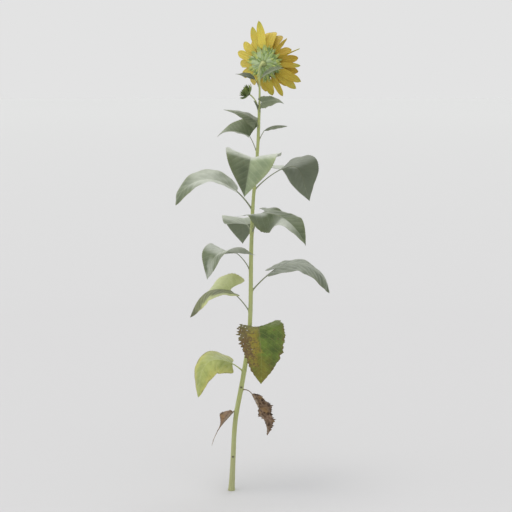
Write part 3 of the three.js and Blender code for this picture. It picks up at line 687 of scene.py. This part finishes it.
def leafMarks(name, x, y, q, u):
    # how yellow and brown each point of a leaf is, its tone, which paints light and shade on two leaves, how much of
    # the painted sheen on parts that face up it keeps, and painted glare, a painted highlight whatever its slope
    half = y / np.max(np.abs(y))
    edge = np.abs(u)
    spread = crumple(x, y, 46, 5)
    yellow, brown, paintedGlare = np.zeros_like(x), np.zeros_like(x), np.zeros_like(x)
    tone, paintedSheenScale = np.ones_like(x), np.ones_like(x)
    if name == "leaf_patchy":
        fine = crumple(x, y, 15, 6)
        dying = smooth(0.03, -0.12, half + 0.07 * spread + 0.06 * fine) * smooth(0.92, 0.56, q + 0.06 * spread)
        ageing = 0.4 * smooth(0.5, 0.8, q + 0.1 * spread) * smooth(0.6, 0.1, np.abs(half))
        yellow = np.maximum(dying * (0.7 + 0.3 * fine), ageing)
        dead = smooth(-0.3, -0.52, half + 0.12 * spread + 0.26 * fine)
        brown = dying * np.maximum(dead, 0.8 * smooth(0.3, 0.7, fine))
        brown = np.maximum(brown, 0.6 * smooth(0.9, 1.0, edge + 0.12 * spread))
    elif name == "leaf_left_low":
        # painted light and shade: the left half is darkened as if in shade except at its margin, the tip is darkened
        # too, and the right half is lightened and given painted glare
        outer = smooth(0.5, 0.72, half + 0.08 * spread)
        tip = smooth(0.78, 0.92, q + 0.03 * spread)
        tone = np.where(half < 0, 1.12, mix(0.3, 1.0, outer)) * mix(1.0, 0.6, tip)
        paintedGlare = np.where(half < 0, 0.46, mix(0.1, 0.3, outer))
    elif name == "leaf_yellow":
        brown = 0.5 * smooth(0.93, 1.0, edge + 0.08 * spread)
        yellow = 0.5 * smooth(0.3, 0.9, edge + 0.2 * spread)
    elif name.startswith("leaf_dry"):
        yellow = 0.6 * smooth(0.1, 0.9, spread)
        brown = 0.8 * smooth(0.2, 0.9, crumple(x, y, 30, 8))
    elif name == "leaf_front":
        # painted light: the blade's left half is made about twice as light as the other, as if lit, and a band of
        # painted glare lies over the foot of the blade
        light = smooth(-0.03, 0.05, half)
        tone = mix(0.95, 2.1, light)
        paintedGlare = np.maximum(0.5 * smooth(0.13, 0.03, q), 0.12 * light)
    elif name == "leaf_left":
        # painted glare, a painted highlight, over the foot of the blade
        paintedGlare = 0.55 * smooth(0.24, 0.04, q + 0.03 * spread)
    elif name == "leaf_right_front":
        # painted sheen: strong on the blade's right half, little on its far left half past the foot, with painted
        # glare along the middle of the right half
        far = smooth(-0.04, 0.04, half)
        paintedSheenScale = mix(1.35, mix(0.45, 0.08, smooth(0.12, 0.3, q)), far)
        paintedGlare = 0.4 * (1 - far) * smooth(0.3, 0.5, q) * smooth(0.95, 0.7, q)
    elif name == "leaf_left_front":
        # painted sheen only past the foot, and painted glare along the middle towards the tip
        paintedSheenScale = smooth(0.1, 0.35, q)
        paintedGlare = 0.65 * smooth(0.55, 0.8, q) * smooth(0.35, 0.1, np.abs(half - 0.1 + 0.1 * spread))
    elif name == "leaf_right_low":
        # less painted sheen towards the tip
        paintedSheenScale = mix(1, 0.6, smooth(0.25, 0.5, q))
    else:
        yellow = 0.25 * smooth(0.5, 1.1, spread * edge)
    return np.clip(yellow, 0, 1), np.clip(brown, 0, 1), tone, paintedSheenScale, paintedGlare


def makeLeaf(name, leaf, seed):
    make, leaf = leafMake, {**usualLeaf, **leaf}
    (length, width), (heading, petiole) = leaf["size"], leaf["stalk"][1:3]
    stalk = growStalk(*leaf["stalk"])[1]
    blade = Blade(stalk[-1], headingOf(leaf.get("aim", heading)), up, length, width,
                  *(leaf[bend] for bend in ("pitch", "turn", "roll", "fold", "wave")))
    rough = leaf["crumple"]
    teeth = max(8, round(length * 1.25 / make["toothPitch"]))
    depth = leaf["tooth"] + 2 * make["toothDepth"] / width

    def margin(q, u):
        saw = (q * teeth) % 1.0
        bite = np.where(saw < make["toothRise"], saw / make["toothRise"], (1 - saw) / (1 - make["toothRise"]))
        ragged = 1 + rough * 0.035 * crumple(q * length, np.sign(u) * 40.0, make["raggedSize"], seed)
        torn = leaf["torn"] * (u < 0) * smooth(0.8, 0.5, q)
        ragged = ragged * (1 - torn * (0.55 + 0.45 * crumple(q * length, 9.0, make["tornSize"], 22)))
        return mix(1, (1 - depth * (1 - bite)) * ragged, np.abs(u) ** 8)

    stations, across = make["largeGrid" if length > make["largeFrom"] else "smallGrid"]
    grid = bladeGrid(length, width, leaf["outline"], stations, across, leaf["lobe"], leaf["shoulder"], margin, 1.35)
    x, y, q, u = grid
    pitch = length / make["sideVeins"]

    def relief(x, y, q, u, underSide):
        count = veinCount(x, y, pitch)
        edge, small = np.abs(u), length / 220
        vein = np.exp(-(np.abs(count - np.round(count)) * pitch / make["veinWidth"]) ** 2) * (1 - edge ** 3)
        bulge = np.sin(np.pi * count) ** 2 * (1 - edge ** 4) * smooth(0, 0.3, edge)
        height = small * make["pucker"] * bulge + small * make["sway"] * crumple(x, y, make["swaySize"], seed) * edge
        height = height + rough * crumple(x, y, 24, seed + 3) * (0.35 + 0.65 * edge)
        height = height + rough * 0.5 * crumple(x, y, 9, seed + 4)
        return height - vein * (make["ridge"] if underSide else make["groove"])

    yellow, brown, tone, paintedSheenScale, paintedGlare = leafMarks(name, x, y, q, u)
    # painted sheen: a painted highlight on the parts of the blade that face up, standing in for light caught at a
    # shallow angle, scaled per place, plus the painted glare
    flat = blade.place(x, y, 0.0)
    level = unit(np.cross(np.gradient(flat, axis=0), np.gradient(flat, axis=1)) + 1e-9)[..., 2]
    paintedSheen = leaf["paintedSheen"] * smooth(0.62, 0.97, level) * paintedSheenScale + paintedGlare
    gone = None
    if leaf["torn"]:
        # insects and rot have eaten through the dead half
        (outer, inner), (first, last) = make["holesAcross"], make["holesAlong"]
        eaten = (u > outer) & (u < inner) & (q > first) & (q < last)
        eaten &= crumple(x, y, make["holeSize"], 31) > make["holeLevel"]
        gone = eaten[:-1, :-1] & eaten[1:, 1:]
    shell = Shell()
    addBlade(shell, blade, grid, make["thickness"], relief, 0, gone,
             place=(x * mm, y * mm, pitch * mm), marks=(yellow, brown, 0.0),
             shape=(np.abs(u), tone * leaf["tone"], paintedSheen))

    # the petiole runs on under the blade as its midrib, and is grooved along its upper side
    thin = max(1.2, length / 130)
    ribX = np.linspace(0, 0.94 * length, 60)[1:]
    ribPoints = blade.place(ribX, 0.0, -thin * mix(0.5, 0.15, ribX / length) - 0.2)
    points = np.vstack([stalk, ribPoints])
    along = np.concatenate([np.linspace(0, petiole, len(stalk)), petiole + ribX])
    radii = np.interp(along, (0, petiole + 0.3 * length, petiole + 0.94 * length), (thin * 1.5, thin * 0.8, 0.3))
    radii = radii * (1 + 0.45 * np.exp(-along / 5.0))
    angles = roundAngles(make["petioleSides"])
    groove = np.exp(-((np.angle(np.exp(1j * (angles - np.pi / 2)))) / 0.5) ** 2)
    section = 1 - make["petioleGroove"] * groove + 0.03 * np.cos(make["petioleRibs"] * angles)
    side = unit(np.cross(points[1] - points[0], up))
    addStalk(shell, points, along, radii, section, side, make["petioleRibs"], thin, 1)

    # the petiole of the yellow leaf has paled with it
    stalkSkin = dryStalk if rough else stemSkin if name == "leaf_yellow" else petioleSkin
    shell.piece("blade_" + name, [leafMaterials[leaf["skin"]], stalkSkin], leafLooks[leaf["skin"]]["slot"], [name])


headFacing = unit((0.38, 0.92, 0.03))  # the way that the disc looks
headAcross = unit(np.cross(up, headFacing))
headUp = np.cross(headFacing, headAcross)
headBack = stemStations[-1][:3] + headFacing * seatGap
rimRadius, rimDepth, baseDepth = 50, 24, 32
headMake = {
    "baseProfile": ((0, 0), (8, 0), (16, 3), (34, 7), (46, 14), (50, 19), (50, 32), (0, 32)), "sides": 96,
    # rings of bracts from the neck outward: how many, the radius and depth of their roots, their length, width
    # and bend, and the angle of the first
    "bracts": (
        (9, 14, 2.0, 34, 19, (2, 10, -14), 22), (11, 22, 3.5, 42, 23, (8, 10, -30), 10),
        (13, 31, 6.5, 38, 22, (12, 8, -26), 4), (13, 39, 10, 33, 22, (16, 6, -34), 0),
        (17, 45, 15, 29, 17, (18, 8, -22), 9),
    ),
    "bractThick": 1.0, "bractGrid": (18, 10), "keel": (0.5, 1.2), "stripes": (0.2, 3.1),
    "hairs": 14, "hairLength": (1.2, 2.4), "hairWidth": 0.14,
    # name, colour, roughness and sheen of each skin
    "skins": (
        ("freshGreenBract", "#9bb16c", 0.5, 0.45), ("deepGreenBract", "#7c964f", 0.5, 0.4),
        ("blueGreenBract", "#adbf8e", 0.5, 0.5), ("yellowGreenBractTip", "#b2bd66", 0.5, 0.3),
        ("paleBractKeel", "#a9bb90", 0.5, 0.4),
    ),
}
tipSkin, keelSkin = 3, 4  # where these two stand among the skins


def headRadial(angle):
    # outward from the head's axis, with 0 to the right and 90 at the top as seen from behind the head
    return -headAcross * math.cos(math.radians(angle)) + headUp * math.sin(math.radians(angle))


def onHead(angle, radius, depth):
    return headBack + headRadial(angle) * radius + headFacing * depth


def turnedMesh(shell, profile, sides, at, axis, number=0):
    # a turned body about the axis through at
    profile = np.asarray(profile, float)
    side = unit(np.cross(axis, (0.3, 0.1, 1.0)))
    turns = around(side, np.cross(axis, side), roundAngles(sides))
    rings = at + profile[:, 0][:, None, None] * turns[None] + (axis * profile[:, 1][:, None])[:, None]
    shell.addRings(rings, number)


def roundProfile(corners, count=64):
    # points along a turned outline with its corners eased
    corners = np.asarray(corners, float)
    lengths = np.concatenate([[0], np.cumsum(np.linalg.norm(np.diff(corners, axis=0), axis=1))])
    wanted = np.linspace(0, lengths[-1], count * 4)
    line = np.stack([np.interp(wanted, lengths, corners[:, k]) for k in (0, 1)], -1)
    kernel = np.hanning(19)
    kernel = kernel / kernel.sum()
    padded = np.vstack([np.repeat(line[:1], 9, 0), line, np.repeat(line[-1:], 9, 0)])
    eased = np.stack([np.convolve(padded[:, k], kernel, "valid") for k in (0, 1)], -1)
    eased[0], eased[-1] = line[0], line[-1]
    return np.maximum(eased[::4], 0.02)


def bractKeel(x, y, q, u, underSide):
    (keelDepth, keelWidth), (stripeDepth, stripePitch) = headMake["keel"], headMake["stripes"]
    keel = -keelDepth * np.exp(-(y / keelWidth) ** 2)
    return keel - stripeDepth * np.cos(2 * np.pi * y / stripePitch) * (1 - np.abs(u))


# Receptacle: a pale, soft swelling that shows between the feet of the bracts. Bracts: leafy green scales with
# hairs along their margins, in three greens as neighbours age at different speeds, the pale blue-green one more
# often on the left as a painted highlight, with pale keels and yellow-green tips.
def makeHeadBase():
    make = headMake
    rng = np.random.default_rng(21)
    shell, bracts, fringe = Shell(), Shell(), Shell()
    turnedMesh(shell, roundProfile(make["baseProfile"]), make["sides"], headBack, headFacing)
    receptacleSkin = tissueMaterial("paleReceptacleTissue", "#8b9a62", 0.55, 0.3, grain=5.0)
    shell.piece("receptacle", [receptacleSkin], "bract", ["flower_base"], plain=True)

    for count, radius, depth, bractLength, bractWidth, bend, first in make["bracts"]:
        for i in range(count):
            angle = first + 360 * (i + rng.uniform(-0.12, 0.12)) / count
            length = bractLength * rng.uniform(0.9, 1.06)
            width = bractWidth * rng.uniform(0.9, 1.08)
            pitch = np.array(bend) + rng.uniform(-5, 5)
            blade = Blade(onHead(angle, radius, depth), headRadial(angle), headFacing, length, width, pitch,
                          turn=(0, rng.uniform(-8, 8)), fold=(12, 8), wave=0.6, waves=2)
            # the bracts towards the left take the pale blue-green skin more often, a painted highlight on the side the
            # light comes from
            litLeft = smooth(0.2, -0.9, math.cos(math.radians(angle)))
            shares = np.array((1.2, 1.0, 0.3 + 2.2 * litLeft))
            skins = np.full(make["bractGrid"], rng.choice(3, p=shares / shares.sum()))
            skins[:int(rng.integers(7, 12)), 4:6] = keelSkin
            skins[int(rng.integers(10, 15)):] = tipSkin
            addBlade(bracts, blade, bladeGrid(length, width, "scale", *make["bractGrid"]), make["bractThick"],
                     bractKeel, skins)
            # hairs along both margins
            q = rng.uniform(0.15, 0.9, make["hairs"])
            for side in (-1, 1):
                rim = side * width / 2 * outlines["scale"](q)
                feet, inner = blade.place(q * length, rim, 0.0), blade.place(q * length, rim * 0.8, 0.0)
                grow = unit(unit(feet - inner) + 0.6 * blade.along(q) + rng.normal(size=feet.shape) * 0.15)
                lengths = rng.uniform(*make["hairLength"], len(feet))
                bristlesOn(fringe, rng, feet, grow, lengths, make["hairWidth"])
    bracts.piece("headBracts", [tissueMaterial(*skin) for skin in make["skins"]], "bract", plain=True)
    fringe.piece("bractBristles", [bristleSkin], "bract", plain=True)


# Rays in order round the head: the angle as headRadial takes it, the length, the bend towards the face and how
# pale it is, painted light that makes the rays on the lit left paler and those on the shaded right a deeper gold.
# lift is how far towards the face a ray stands that bends in front of its neighbours.
usualRay = {"lift": 0, "width": 32, "turn": (0, 0), "roll": (0, 0), "tone": 1.0, "green": 0.0}
rays = (
    (161, 90, (6, 20, 38), 0.8, {}),
    (142, 88, (6, 20, 44), 0.8, {}),
    (129, 84, (14, 40, 62), 0.6, {"lift": 7, "width": 34}),
    (117, 101, (4, 8, 14), 0.7, {"turn": (0, 4, 14), "width": 31, "tone": 1.06, "green": 0.5}),
    (99, 110, (0, 2, -4), 1.0, {"tone": 1.12, "green": 0.5}),
    (89, 88, (8, 30, 84), 0.45, {"width": 35}),
    (78, 92, (4, 30, 84), 0.4, {"width": 34, "tone": 1.04}),
    (65, 87, (6, 36, 84), 0.1, {"tone": 0.9}),
    (47, 76, (2, 4, 10), 0.3, {"roll": (30, 70), "width": 18, "tone": 0.97}),
    (34, 84, (40, 60, 80), 0.0, {"tone": 0.96}),
    (21, 98, (-4, 2, 0), 0.3, {"roll": (40, 80, 80), "width": 16, "tone": 0.97, "green": 0.8}),
    (9, 78, (4, 14, 16), 0.0, {}),
    (-4, 88, (8, 8, 4), 0.2, {"width": 20, "green": 0.8}),
    (-15, 80, (10, 20, 30), 0.0, {}),
    (-26, 106, (2, 4, 0), 0.3, {"tone": 1.04, "green": 0.4}),
    (-39, 101, (4, 6, 4), 0.5, {"tone": 1.04, "green": 0.6}),
    (-50, 90, (30, 50, 64), 0.2, {"lift": 7, "tone": 0.97}),
    (-62, 89, (0, 4, 6), 0.5, {"width": 25, "tone": 1.04, "green": 0.3}),
    (-82, 77, (8, 20, 34), 0.6, {"green": 0.4}),
    (-99, 71, (14, 36, 50), 0.5, {"tone": 1.04}),
    (-116, 84, (26, 56, 74), 0.4, {"lift": 7}),
    (-134, 84, (18, 44, 64), 0.7, {}),
    (-157, 88, (12, 34, 56), 0.8, {}),
    (180, 86, (10, 30, 52), 0.8, {}),
)
rayMake = {
    "thickness": 0.7, "stagger": 2.6, "pleat": 0.5, "pleats": 3.2, "cup": 1.4, "tipTeeth": 1.6,
    "grid": (48, 18), "gold": "#b5992a", "lemon": "#cfc04e", "crease": "#66591f", "greenTip": "#a3a94c",
    "lineWidth": 1.7,
}


# Ray florets: a soft petal with pleats and fine veins along it, its skin of cone-shaped cells. The eye gets a
# deep satin yellow, streaked lemon along fine lines and lemon all over on the rays that are painted as lit,
# brown-olive in the crease at its foot and green at an unripe tip.
def rayMaterial():
    make = rayMake
    graph = Graph(bpy.data.materials.new("satinYellowRay"))
    crease, green, _ = graph.split(graph.mark("marks"))
    _, tone, pale = graph.split(graph.mark("shape"))
    drawn = graph.add("Mapping", {"Vector": graph.mark("place"), "Scale": (0.06, 1.0, 1.0)})
    lines = graph.noise(drawn, make["lineWidth"])
    # pale is painted light: it turns the rays on the lit left lemon and leaves those on the shaded right deep gold
    share = graph.maths("ADD", graph.ranged(lines, 0.35, 0.65, -0.25, 0.25), pale, clamp=True)
    colour = graph.blend(share, make["gold"], make["lemon"])
    colour = graph.blend(green, colour, make["greenTip"])
    colour = graph.scaled(graph.blend(crease, colour, make["crease"]), tone)
    rough = graph.ranged(lines, 0.3, 0.7, 0.44, 0.56)
    return graph.tissue(colour, rough, graph.bump(lines, 0.45, 0.5), 0.12, 0.35, "#f3e6b0", {
        "IOR": 1.42, "Subsurface Weight": 0.12, "Subsurface Radius": (1.0, 0.6, 0.1), "Subsurface Scale": 2 * mm,
    })


def makeRay(number, material, angle, length, pitch, pale, others):
    make, ray = rayMake, {**usualRay, **others}
    rng = np.random.default_rng(100 + number)
    width = ray["width"]
    depth = rimDepth + (make["stagger"] if number % 2 else -make["stagger"]) + ray["lift"]
    blade = Blade(onHead(angle, rimRadius + seatGap, depth), headRadial(angle), headFacing, length, width, pitch,
                  ray["turn"], ray["roll"], wave=1.2, waves=2.2)
    tips = rng.uniform(-0.5, 0.5)

    def margin(q, u):
        return 1 + 0.03 * np.sin(9 * q + 6 * tips + np.sign(u)) * np.abs(u)

    x, y, q, u = bladeGrid(length, width, "strap", *make["grid"], margin=margin)
    # two small teeth at the tip
    x = x - make["tipTeeth"] * np.abs(np.sin(2.5 * np.pi * (u + tips) / 2)) * smooth(0.93, 1.0, q)

    def relief(x, y, q, u, underSide):
        pleat = np.cos(np.pi * make["pleats"] * u + tips) * (1 - np.abs(u) ** 4)
        cup = make["cup"] * (1 - u ** 2) * smooth(0, 0.3, q)
        return make["pleat"] * pleat * smooth(0, 0.15, q) + cup + 0.5 * crumple(x, y, 30, 200 + number) * q

    crease = smooth(0.14, 0.0, q + 0.03 * np.cos(9 * u)) * 0.85
    green = ray["green"] * smooth(0.6, 0.97, q + 0.05 * np.cos(5 * u))
    shell = Shell()
    addBlade(shell, blade, (x, y, q, u), make["thickness"], relief,
             place=(x * mm, y * mm, number * 0.03), marks=(crease, green, 0.0),
             shape=(np.abs(u), ray["tone"] * rng.uniform(0.97, 1.03), pale))
    shell.piece("petal_%02d" % (number + 1), [material], "ray", ["ray_%02d" % (number + 1)])


# Disc florets: tight five-pointed tubes of papery tissue, packed in two sets of spirals. The eye gets a velvety
# dark middle, a brown band of open florets and a rim dusted with orange-yellow pollen.
discMake = {
    "radius": 46, "height": 11, "florets": 1500, "goldenAngle": 137.508, "floretSides": 5, "floretShare": 0.62,
    "bedSides": 80, "scaleThick": 0.5,
    # how far out the florets open and ripen, and the height of a young one and what opening and ripening add
    "openFrom": 0.55, "ripeFrom": 0.78, "tall": (2.6, 1.7, 0.9),
    # rings of scales: how many, how far inside the rim and above the seat, their lengths, width, bend and
    # stations, and if they lie outward. The first stands between disc and rays, the last over the rim.
    "scales": ((46, 0.6, -0.5, (9, 12), 5.2, (-18, 6, 14), 6, False),
               (56, 0.8, 0.8, (11, 13), 7.4, (16, -8, -64), 8, True)),
    # name, colour, roughness, sheen and grain of each skin
    "skins": (("youngFloretBud", "#4a4526", 0.7, 0.5, 1.0), ("openBrownFloret", "#4b2d16", 0.65, 0.5, 1.0),
              ("pollenDustedFloret", "#c98a1e", 0.75, 0.6, 1.0), ("greenChaffScale", "#77702f", 0.6, 0.3, 1.5)),
}


def discHeightAt(radius):
    angles = np.linspace(0, np.pi / 2, 200)
    radii = discMake["radius"] * np.cos(angles) ** 0.7
    return np.interp(radius, radii[::-1], (2 + discMake["height"] * np.sin(angles))[::-1])


def makeDisc():
    make = discMake
    *floretSkins, chaff = [tissueMaterial(*skin) for skin in make["skins"]]
    seat, edge = baseDepth + seatGap, make["radius"] - 1.6
    dome, florets, scales = Shell(), Shell(), Shell()
    radii = np.linspace(0.05, make["radius"] - 1.2, 40)[::-1]
    profile = np.vstack([(make["radius"] - 1.0, 0.0), np.stack([radii, discHeightAt(radii) - 2.2], -1)])
    turnedMesh(dome, profile, make["bedSides"], onHead(0, 0, seat), headFacing)
    dome.piece("discBed", [chaff], "disc", ["seed_disc"], plain=True)

    rng = np.random.default_rng(31)
    sides = make["floretSides"]
    spokes = np.arange(sides)
    for n in range(make["florets"]):
        share = math.sqrt((n + 0.5) / make["florets"])
        outward = headRadial(n * make["goldenAngle"])
        size = make["floretShare"] * edge / math.sqrt(make["florets"]) * rng.uniform(0.92, 1.08)
        opened = share > make["openFrom"] + rng.uniform(-0.05, 0.05)
        ripe = share > make["ripeFrom"] + rng.uniform(-0.05, 0.05)
        tall = np.dot(make["tall"], (1, opened, ripe))
        radius = share * edge
        foot = headBack + outward * radius + headFacing * (seat + float(discHeightAt(radius)) - 2.8)
        way = unit(headFacing + outward * (0.5 * share ** 3 + rng.uniform(-0.06, 0.06)))
        side = unit(np.cross(way, headUp))
        turns = around(side, np.cross(way, side), roundAngles(sides))
        rings = [foot + way * rise * tall * min(1.0, 0.8 + 0.2 * rise) + turns * reach * size
                 for reach, rise in ((0.75, 0.0), (0.85, 0.45), (0.7, 0.72), (1.15 if opened else 0.55, 1.0))]
        # the lobes' tips stand over a sunken throat
        throat = foot + way * tall * (0.72 if opened else 1.12)
        fan = np.stack([3 * sides + spokes, 3 * sides + (spokes + 1) % sides, np.full(sides, 4 * sides)], -1)
        florets.add(np.vstack(rings + [throat]), [ringFaces(4, sides), fan, spokes[::-1][None, :]],
                    2 if ripe else 1 if opened else 0)
    florets.piece("discFlorets", floretSkins, "disc", plain=True)

    for count, inset, rise, lengths, width, bend, stations, lying in make["scales"]:
        for i in range(count):
            angle = 360 * (i + rng.uniform(-0.2, 0.2)) / count
            outward = headRadial(angle)
            ahead, face = (outward, headFacing) if lying else (headFacing, -outward)
            blade = Blade(onHead(angle, make["radius"] - inset, seat + rise), ahead, face,
                          rng.uniform(*lengths), width, bend)
            addBlade(scales, blade, bladeGrid(blade.length, width, "spear", stations, 4), make["scaleThick"])
    scales.piece("discScales", [chaff], "disc", plain=True)


# Bud: bracts folded round a dark heart, a young olive green with no pale wax coat.
sideBud = {
    "stalk": (1476, 176, 62, 82, 34), "stalkRadius": 2.4, "stalkSides": 12, "stalkRibs": 4,
    "radius": 16, "height": 32, "bodySides": 32,
    # rings of bracts: how many, their length, width and bend, and how far up the bud they root
    "bracts": ((7, 42, 25, (-4, 32, 66), 2), (7, 38, 22, (22, 56, 84), 4), (9, 34, 16, (36, 68, 92), 5)),
    "bractThick": 1.0, "bractGrid": (18, 10), "hairs": 26, "hairLength": (1.5, 3.0), "hairWidth": 0.16,
    "skins": (("oliveBudBract", "#75873f", 0.55, 0.2), ("deepBudBract", "#5b6c33", 0.55, 0.2),
              ("darkBudHeart", "#3c4a22", 0.6, 0.2)),
}


def makeBud():
    make = sideBud
    rng = np.random.default_rng(41)
    level, stalk = growStalk(*make["stalk"])
    end, rise = stalk[-1], math.radians(make["stalk"][-1])
    axis = level * math.cos(rise) + up * math.sin(rise)
    shell, hairs = Shell(), Shell()
    along = np.linspace(0, make["stalk"][2], len(stalk))
    addStalk(shell, stalk, along, make["stalkRadius"] * (1 + 0.5 * np.exp(-along / 5)), np.ones(make["stalkSides"]),
             unit(np.cross(level, up)), make["stalkRibs"], 2.2, 3)
    turns = np.linspace(0, np.pi, 24)
    body = np.stack([np.maximum(make["radius"] * np.sin(turns), 0.02), make["height"] / 2 * (1 - np.cos(turns))], -1)
    turnedMesh(shell, body, make["bodySides"], end - axis * 1.5, axis, 2)
    side = unit(np.cross(up, axis))
    other = np.cross(axis, side)
    for row, (count, bractLength, width, bend, depth) in enumerate(make["bracts"]):
        for i in range(count):
            angle = 2 * np.pi * (i + row / 2) / count
            ahead = side * math.cos(angle) + other * math.sin(angle)
            length = bractLength * rng.uniform(0.93, 1.0)
            blade = Blade(end + axis * depth + ahead * 4, ahead, axis, length, width, bend,
                          turn=(0, rng.uniform(-10, 10)), fold=(6, 14), wave=0.8, waves=2)
            addBlade(shell, blade, bladeGrid(length, width, "spear", *make["bractGrid"]), make["bractThick"],
                     number=int(rng.integers(0, 2)))
            q = rng.uniform(0.05, 0.95, make["hairs"])
            rim = rng.choice((-1, 1), make["hairs"]) * width / 2 * outlines["spear"](q) * 0.98
            feet = blade.place(q * length, rim, 0.0)
            grow = unit(feet - end - axis * 12 + rng.normal(size=feet.shape) * 3)
            bristlesOn(hairs, rng, feet, grow, rng.uniform(*make["hairLength"], len(feet)), make["hairWidth"])
    skins = [tissueMaterial(*skin) for skin in make["skins"]]
    shell.piece("budBracts", skins + [stemSkin], "bract", ["side_bud"])
    hairs.piece("budBristles", [bristleSkin], "bract", plain=True)


makeStem()
print("stem made")
for seed, (name, leaf) in enumerate(leaves.items()):
    makeLeaf(name, leaf, seed)
print("leaves made: %d" % len(leaves))
makeHeadBase()
rayPetal = rayMaterial()
for number, ray in enumerate(rays):
    makeRay(number, rayPetal, *ray)
makeDisc()
makeBud()
print("flower head and bud made")


stage = {
    "near": "#c7c7c8", "far": "#cccdcd", "farFrom": (4.0, 60.0), "reach": 160.0, "sides": 96, "grainSize": 10 / 9,
    # soft surrounding light: its tone low down, high up, and its strength
    "low": "#e3e3e3", "high": "#fbfbfb", "strength": 1.0,
    # heading and height of each soft lamp in degrees, its strength, width in degrees and colour
    "lamps": {
        "keyLamp": (202, 79, 0.62, 24, "#fffaf2"), "sideLamp": (192, 24, 0.4, 40, "#ffffff"),
        "backLamp": (62, 62, 0.35, 30, "#f6f9ff"),
    },
    "lens": 85, "sensor": 36, "cameraAt": (0.0954, -4.5354, 1.5577), "target": (0.0954, 0.0, 0.9203),
}


def link(name, data):
    made = bpy.data.objects.new(name, data)
    bpy.context.scene.collection.objects.link(made)
    return made


def makeFloor():
    # matt painted board, a touch paler far off: it takes soft shadows and shows no gloss
    radii = np.concatenate([np.linspace(0.01, 3, 12), np.geomspace(4, stage["reach"], 14)])
    rings = radii[:, None, None] * around(np.array((1.0, 0, 0)), np.array((0, 1.0, 0)), roundAngles(stage["sides"]))
    mesh = bpy.data.meshes.new("studioFloor")
    faces = ringFaces(len(radii), stage["sides"]).tolist() + [list(range(stage["sides"]))[::-1]]
    mesh.from_pydata(rings.reshape(-1, 3), [], faces)
    mesh.flip_normals()
    floor = link("studioFloor", mesh)
    graph = Graph(bpy.data.materials.new("mattPaintedBoard"))
    where = graph.add("TexCoord", {}, 3)
    away = graph.add("VectorMath", {0: where}, 1, operation="LENGTH")
    share = graph.maths("POWER", graph.ranged(away, *stage["farFrom"], 0.0, 1.0), 0.5)
    grain = graph.ranged(graph.noise(where, stage["grainSize"]), 0.3, 0.7, 0.985, 1.015)
    colour = graph.scaled(graph.blend(share, stage["near"], stage["far"]), grain)
    mesh.materials.append(graph.finish({"Base Color": colour, "Roughness": 0.9, "Specular IOR Level": 0.1}))


def addLamp(name, heading, height, strength, width, hexColour):
    light = bpy.data.lights.new(name, "SUN")
    light.energy, light.angle, light.color = strength, math.radians(width), linear(hexColour)[:3]
    rise = math.radians(height)
    toward = Vector(headingOf(heading) * math.cos(rise) + up * math.sin(rise))
    lamp = link(name, light)
    lamp.location = toward * 6
    lamp.rotation_euler = toward.to_track_quat("Z", "Y").to_euler()


def makeSurround():
    world = bpy.data.worlds.new("paleStudio")
    bpy.context.scene.world = world
    graph = Graph(world)
    height = graph.split(graph.add("TexCoord", {}))[2]
    share = graph.ranged(height, 0.05, 0.8, 0.0, 1.0, "SMOOTHSTEP")
    colour = graph.blend(share, stage["low"], stage["high"])
    glow = graph.add("Background", {"Color": colour, "Strength": stage["strength"]})
    graph.add("OutputWorld", {"Surface": glow}, slice(0, 0))


def makeCamera():
    data = bpy.data.cameras.new("frontCamera")
    data.lens, data.sensor_width = stage["lens"], stage["sensor"]
    camera = link("frontCamera", data)
    camera.location = stage["cameraAt"]
    look = Vector(stage["target"]) - Vector(stage["cameraAt"])
    camera.rotation_euler = look.to_track_quat("-Z", "Y").to_euler()
    bpy.context.scene.camera = camera


makeFloor()
for name, lamp in stage["lamps"].items():
    addLamp(name, *lamp)
makeSurround()
makeCamera()
bpy.context.scene.view_settings.view_transform = "Standard"
print("floor, lights and camera set")
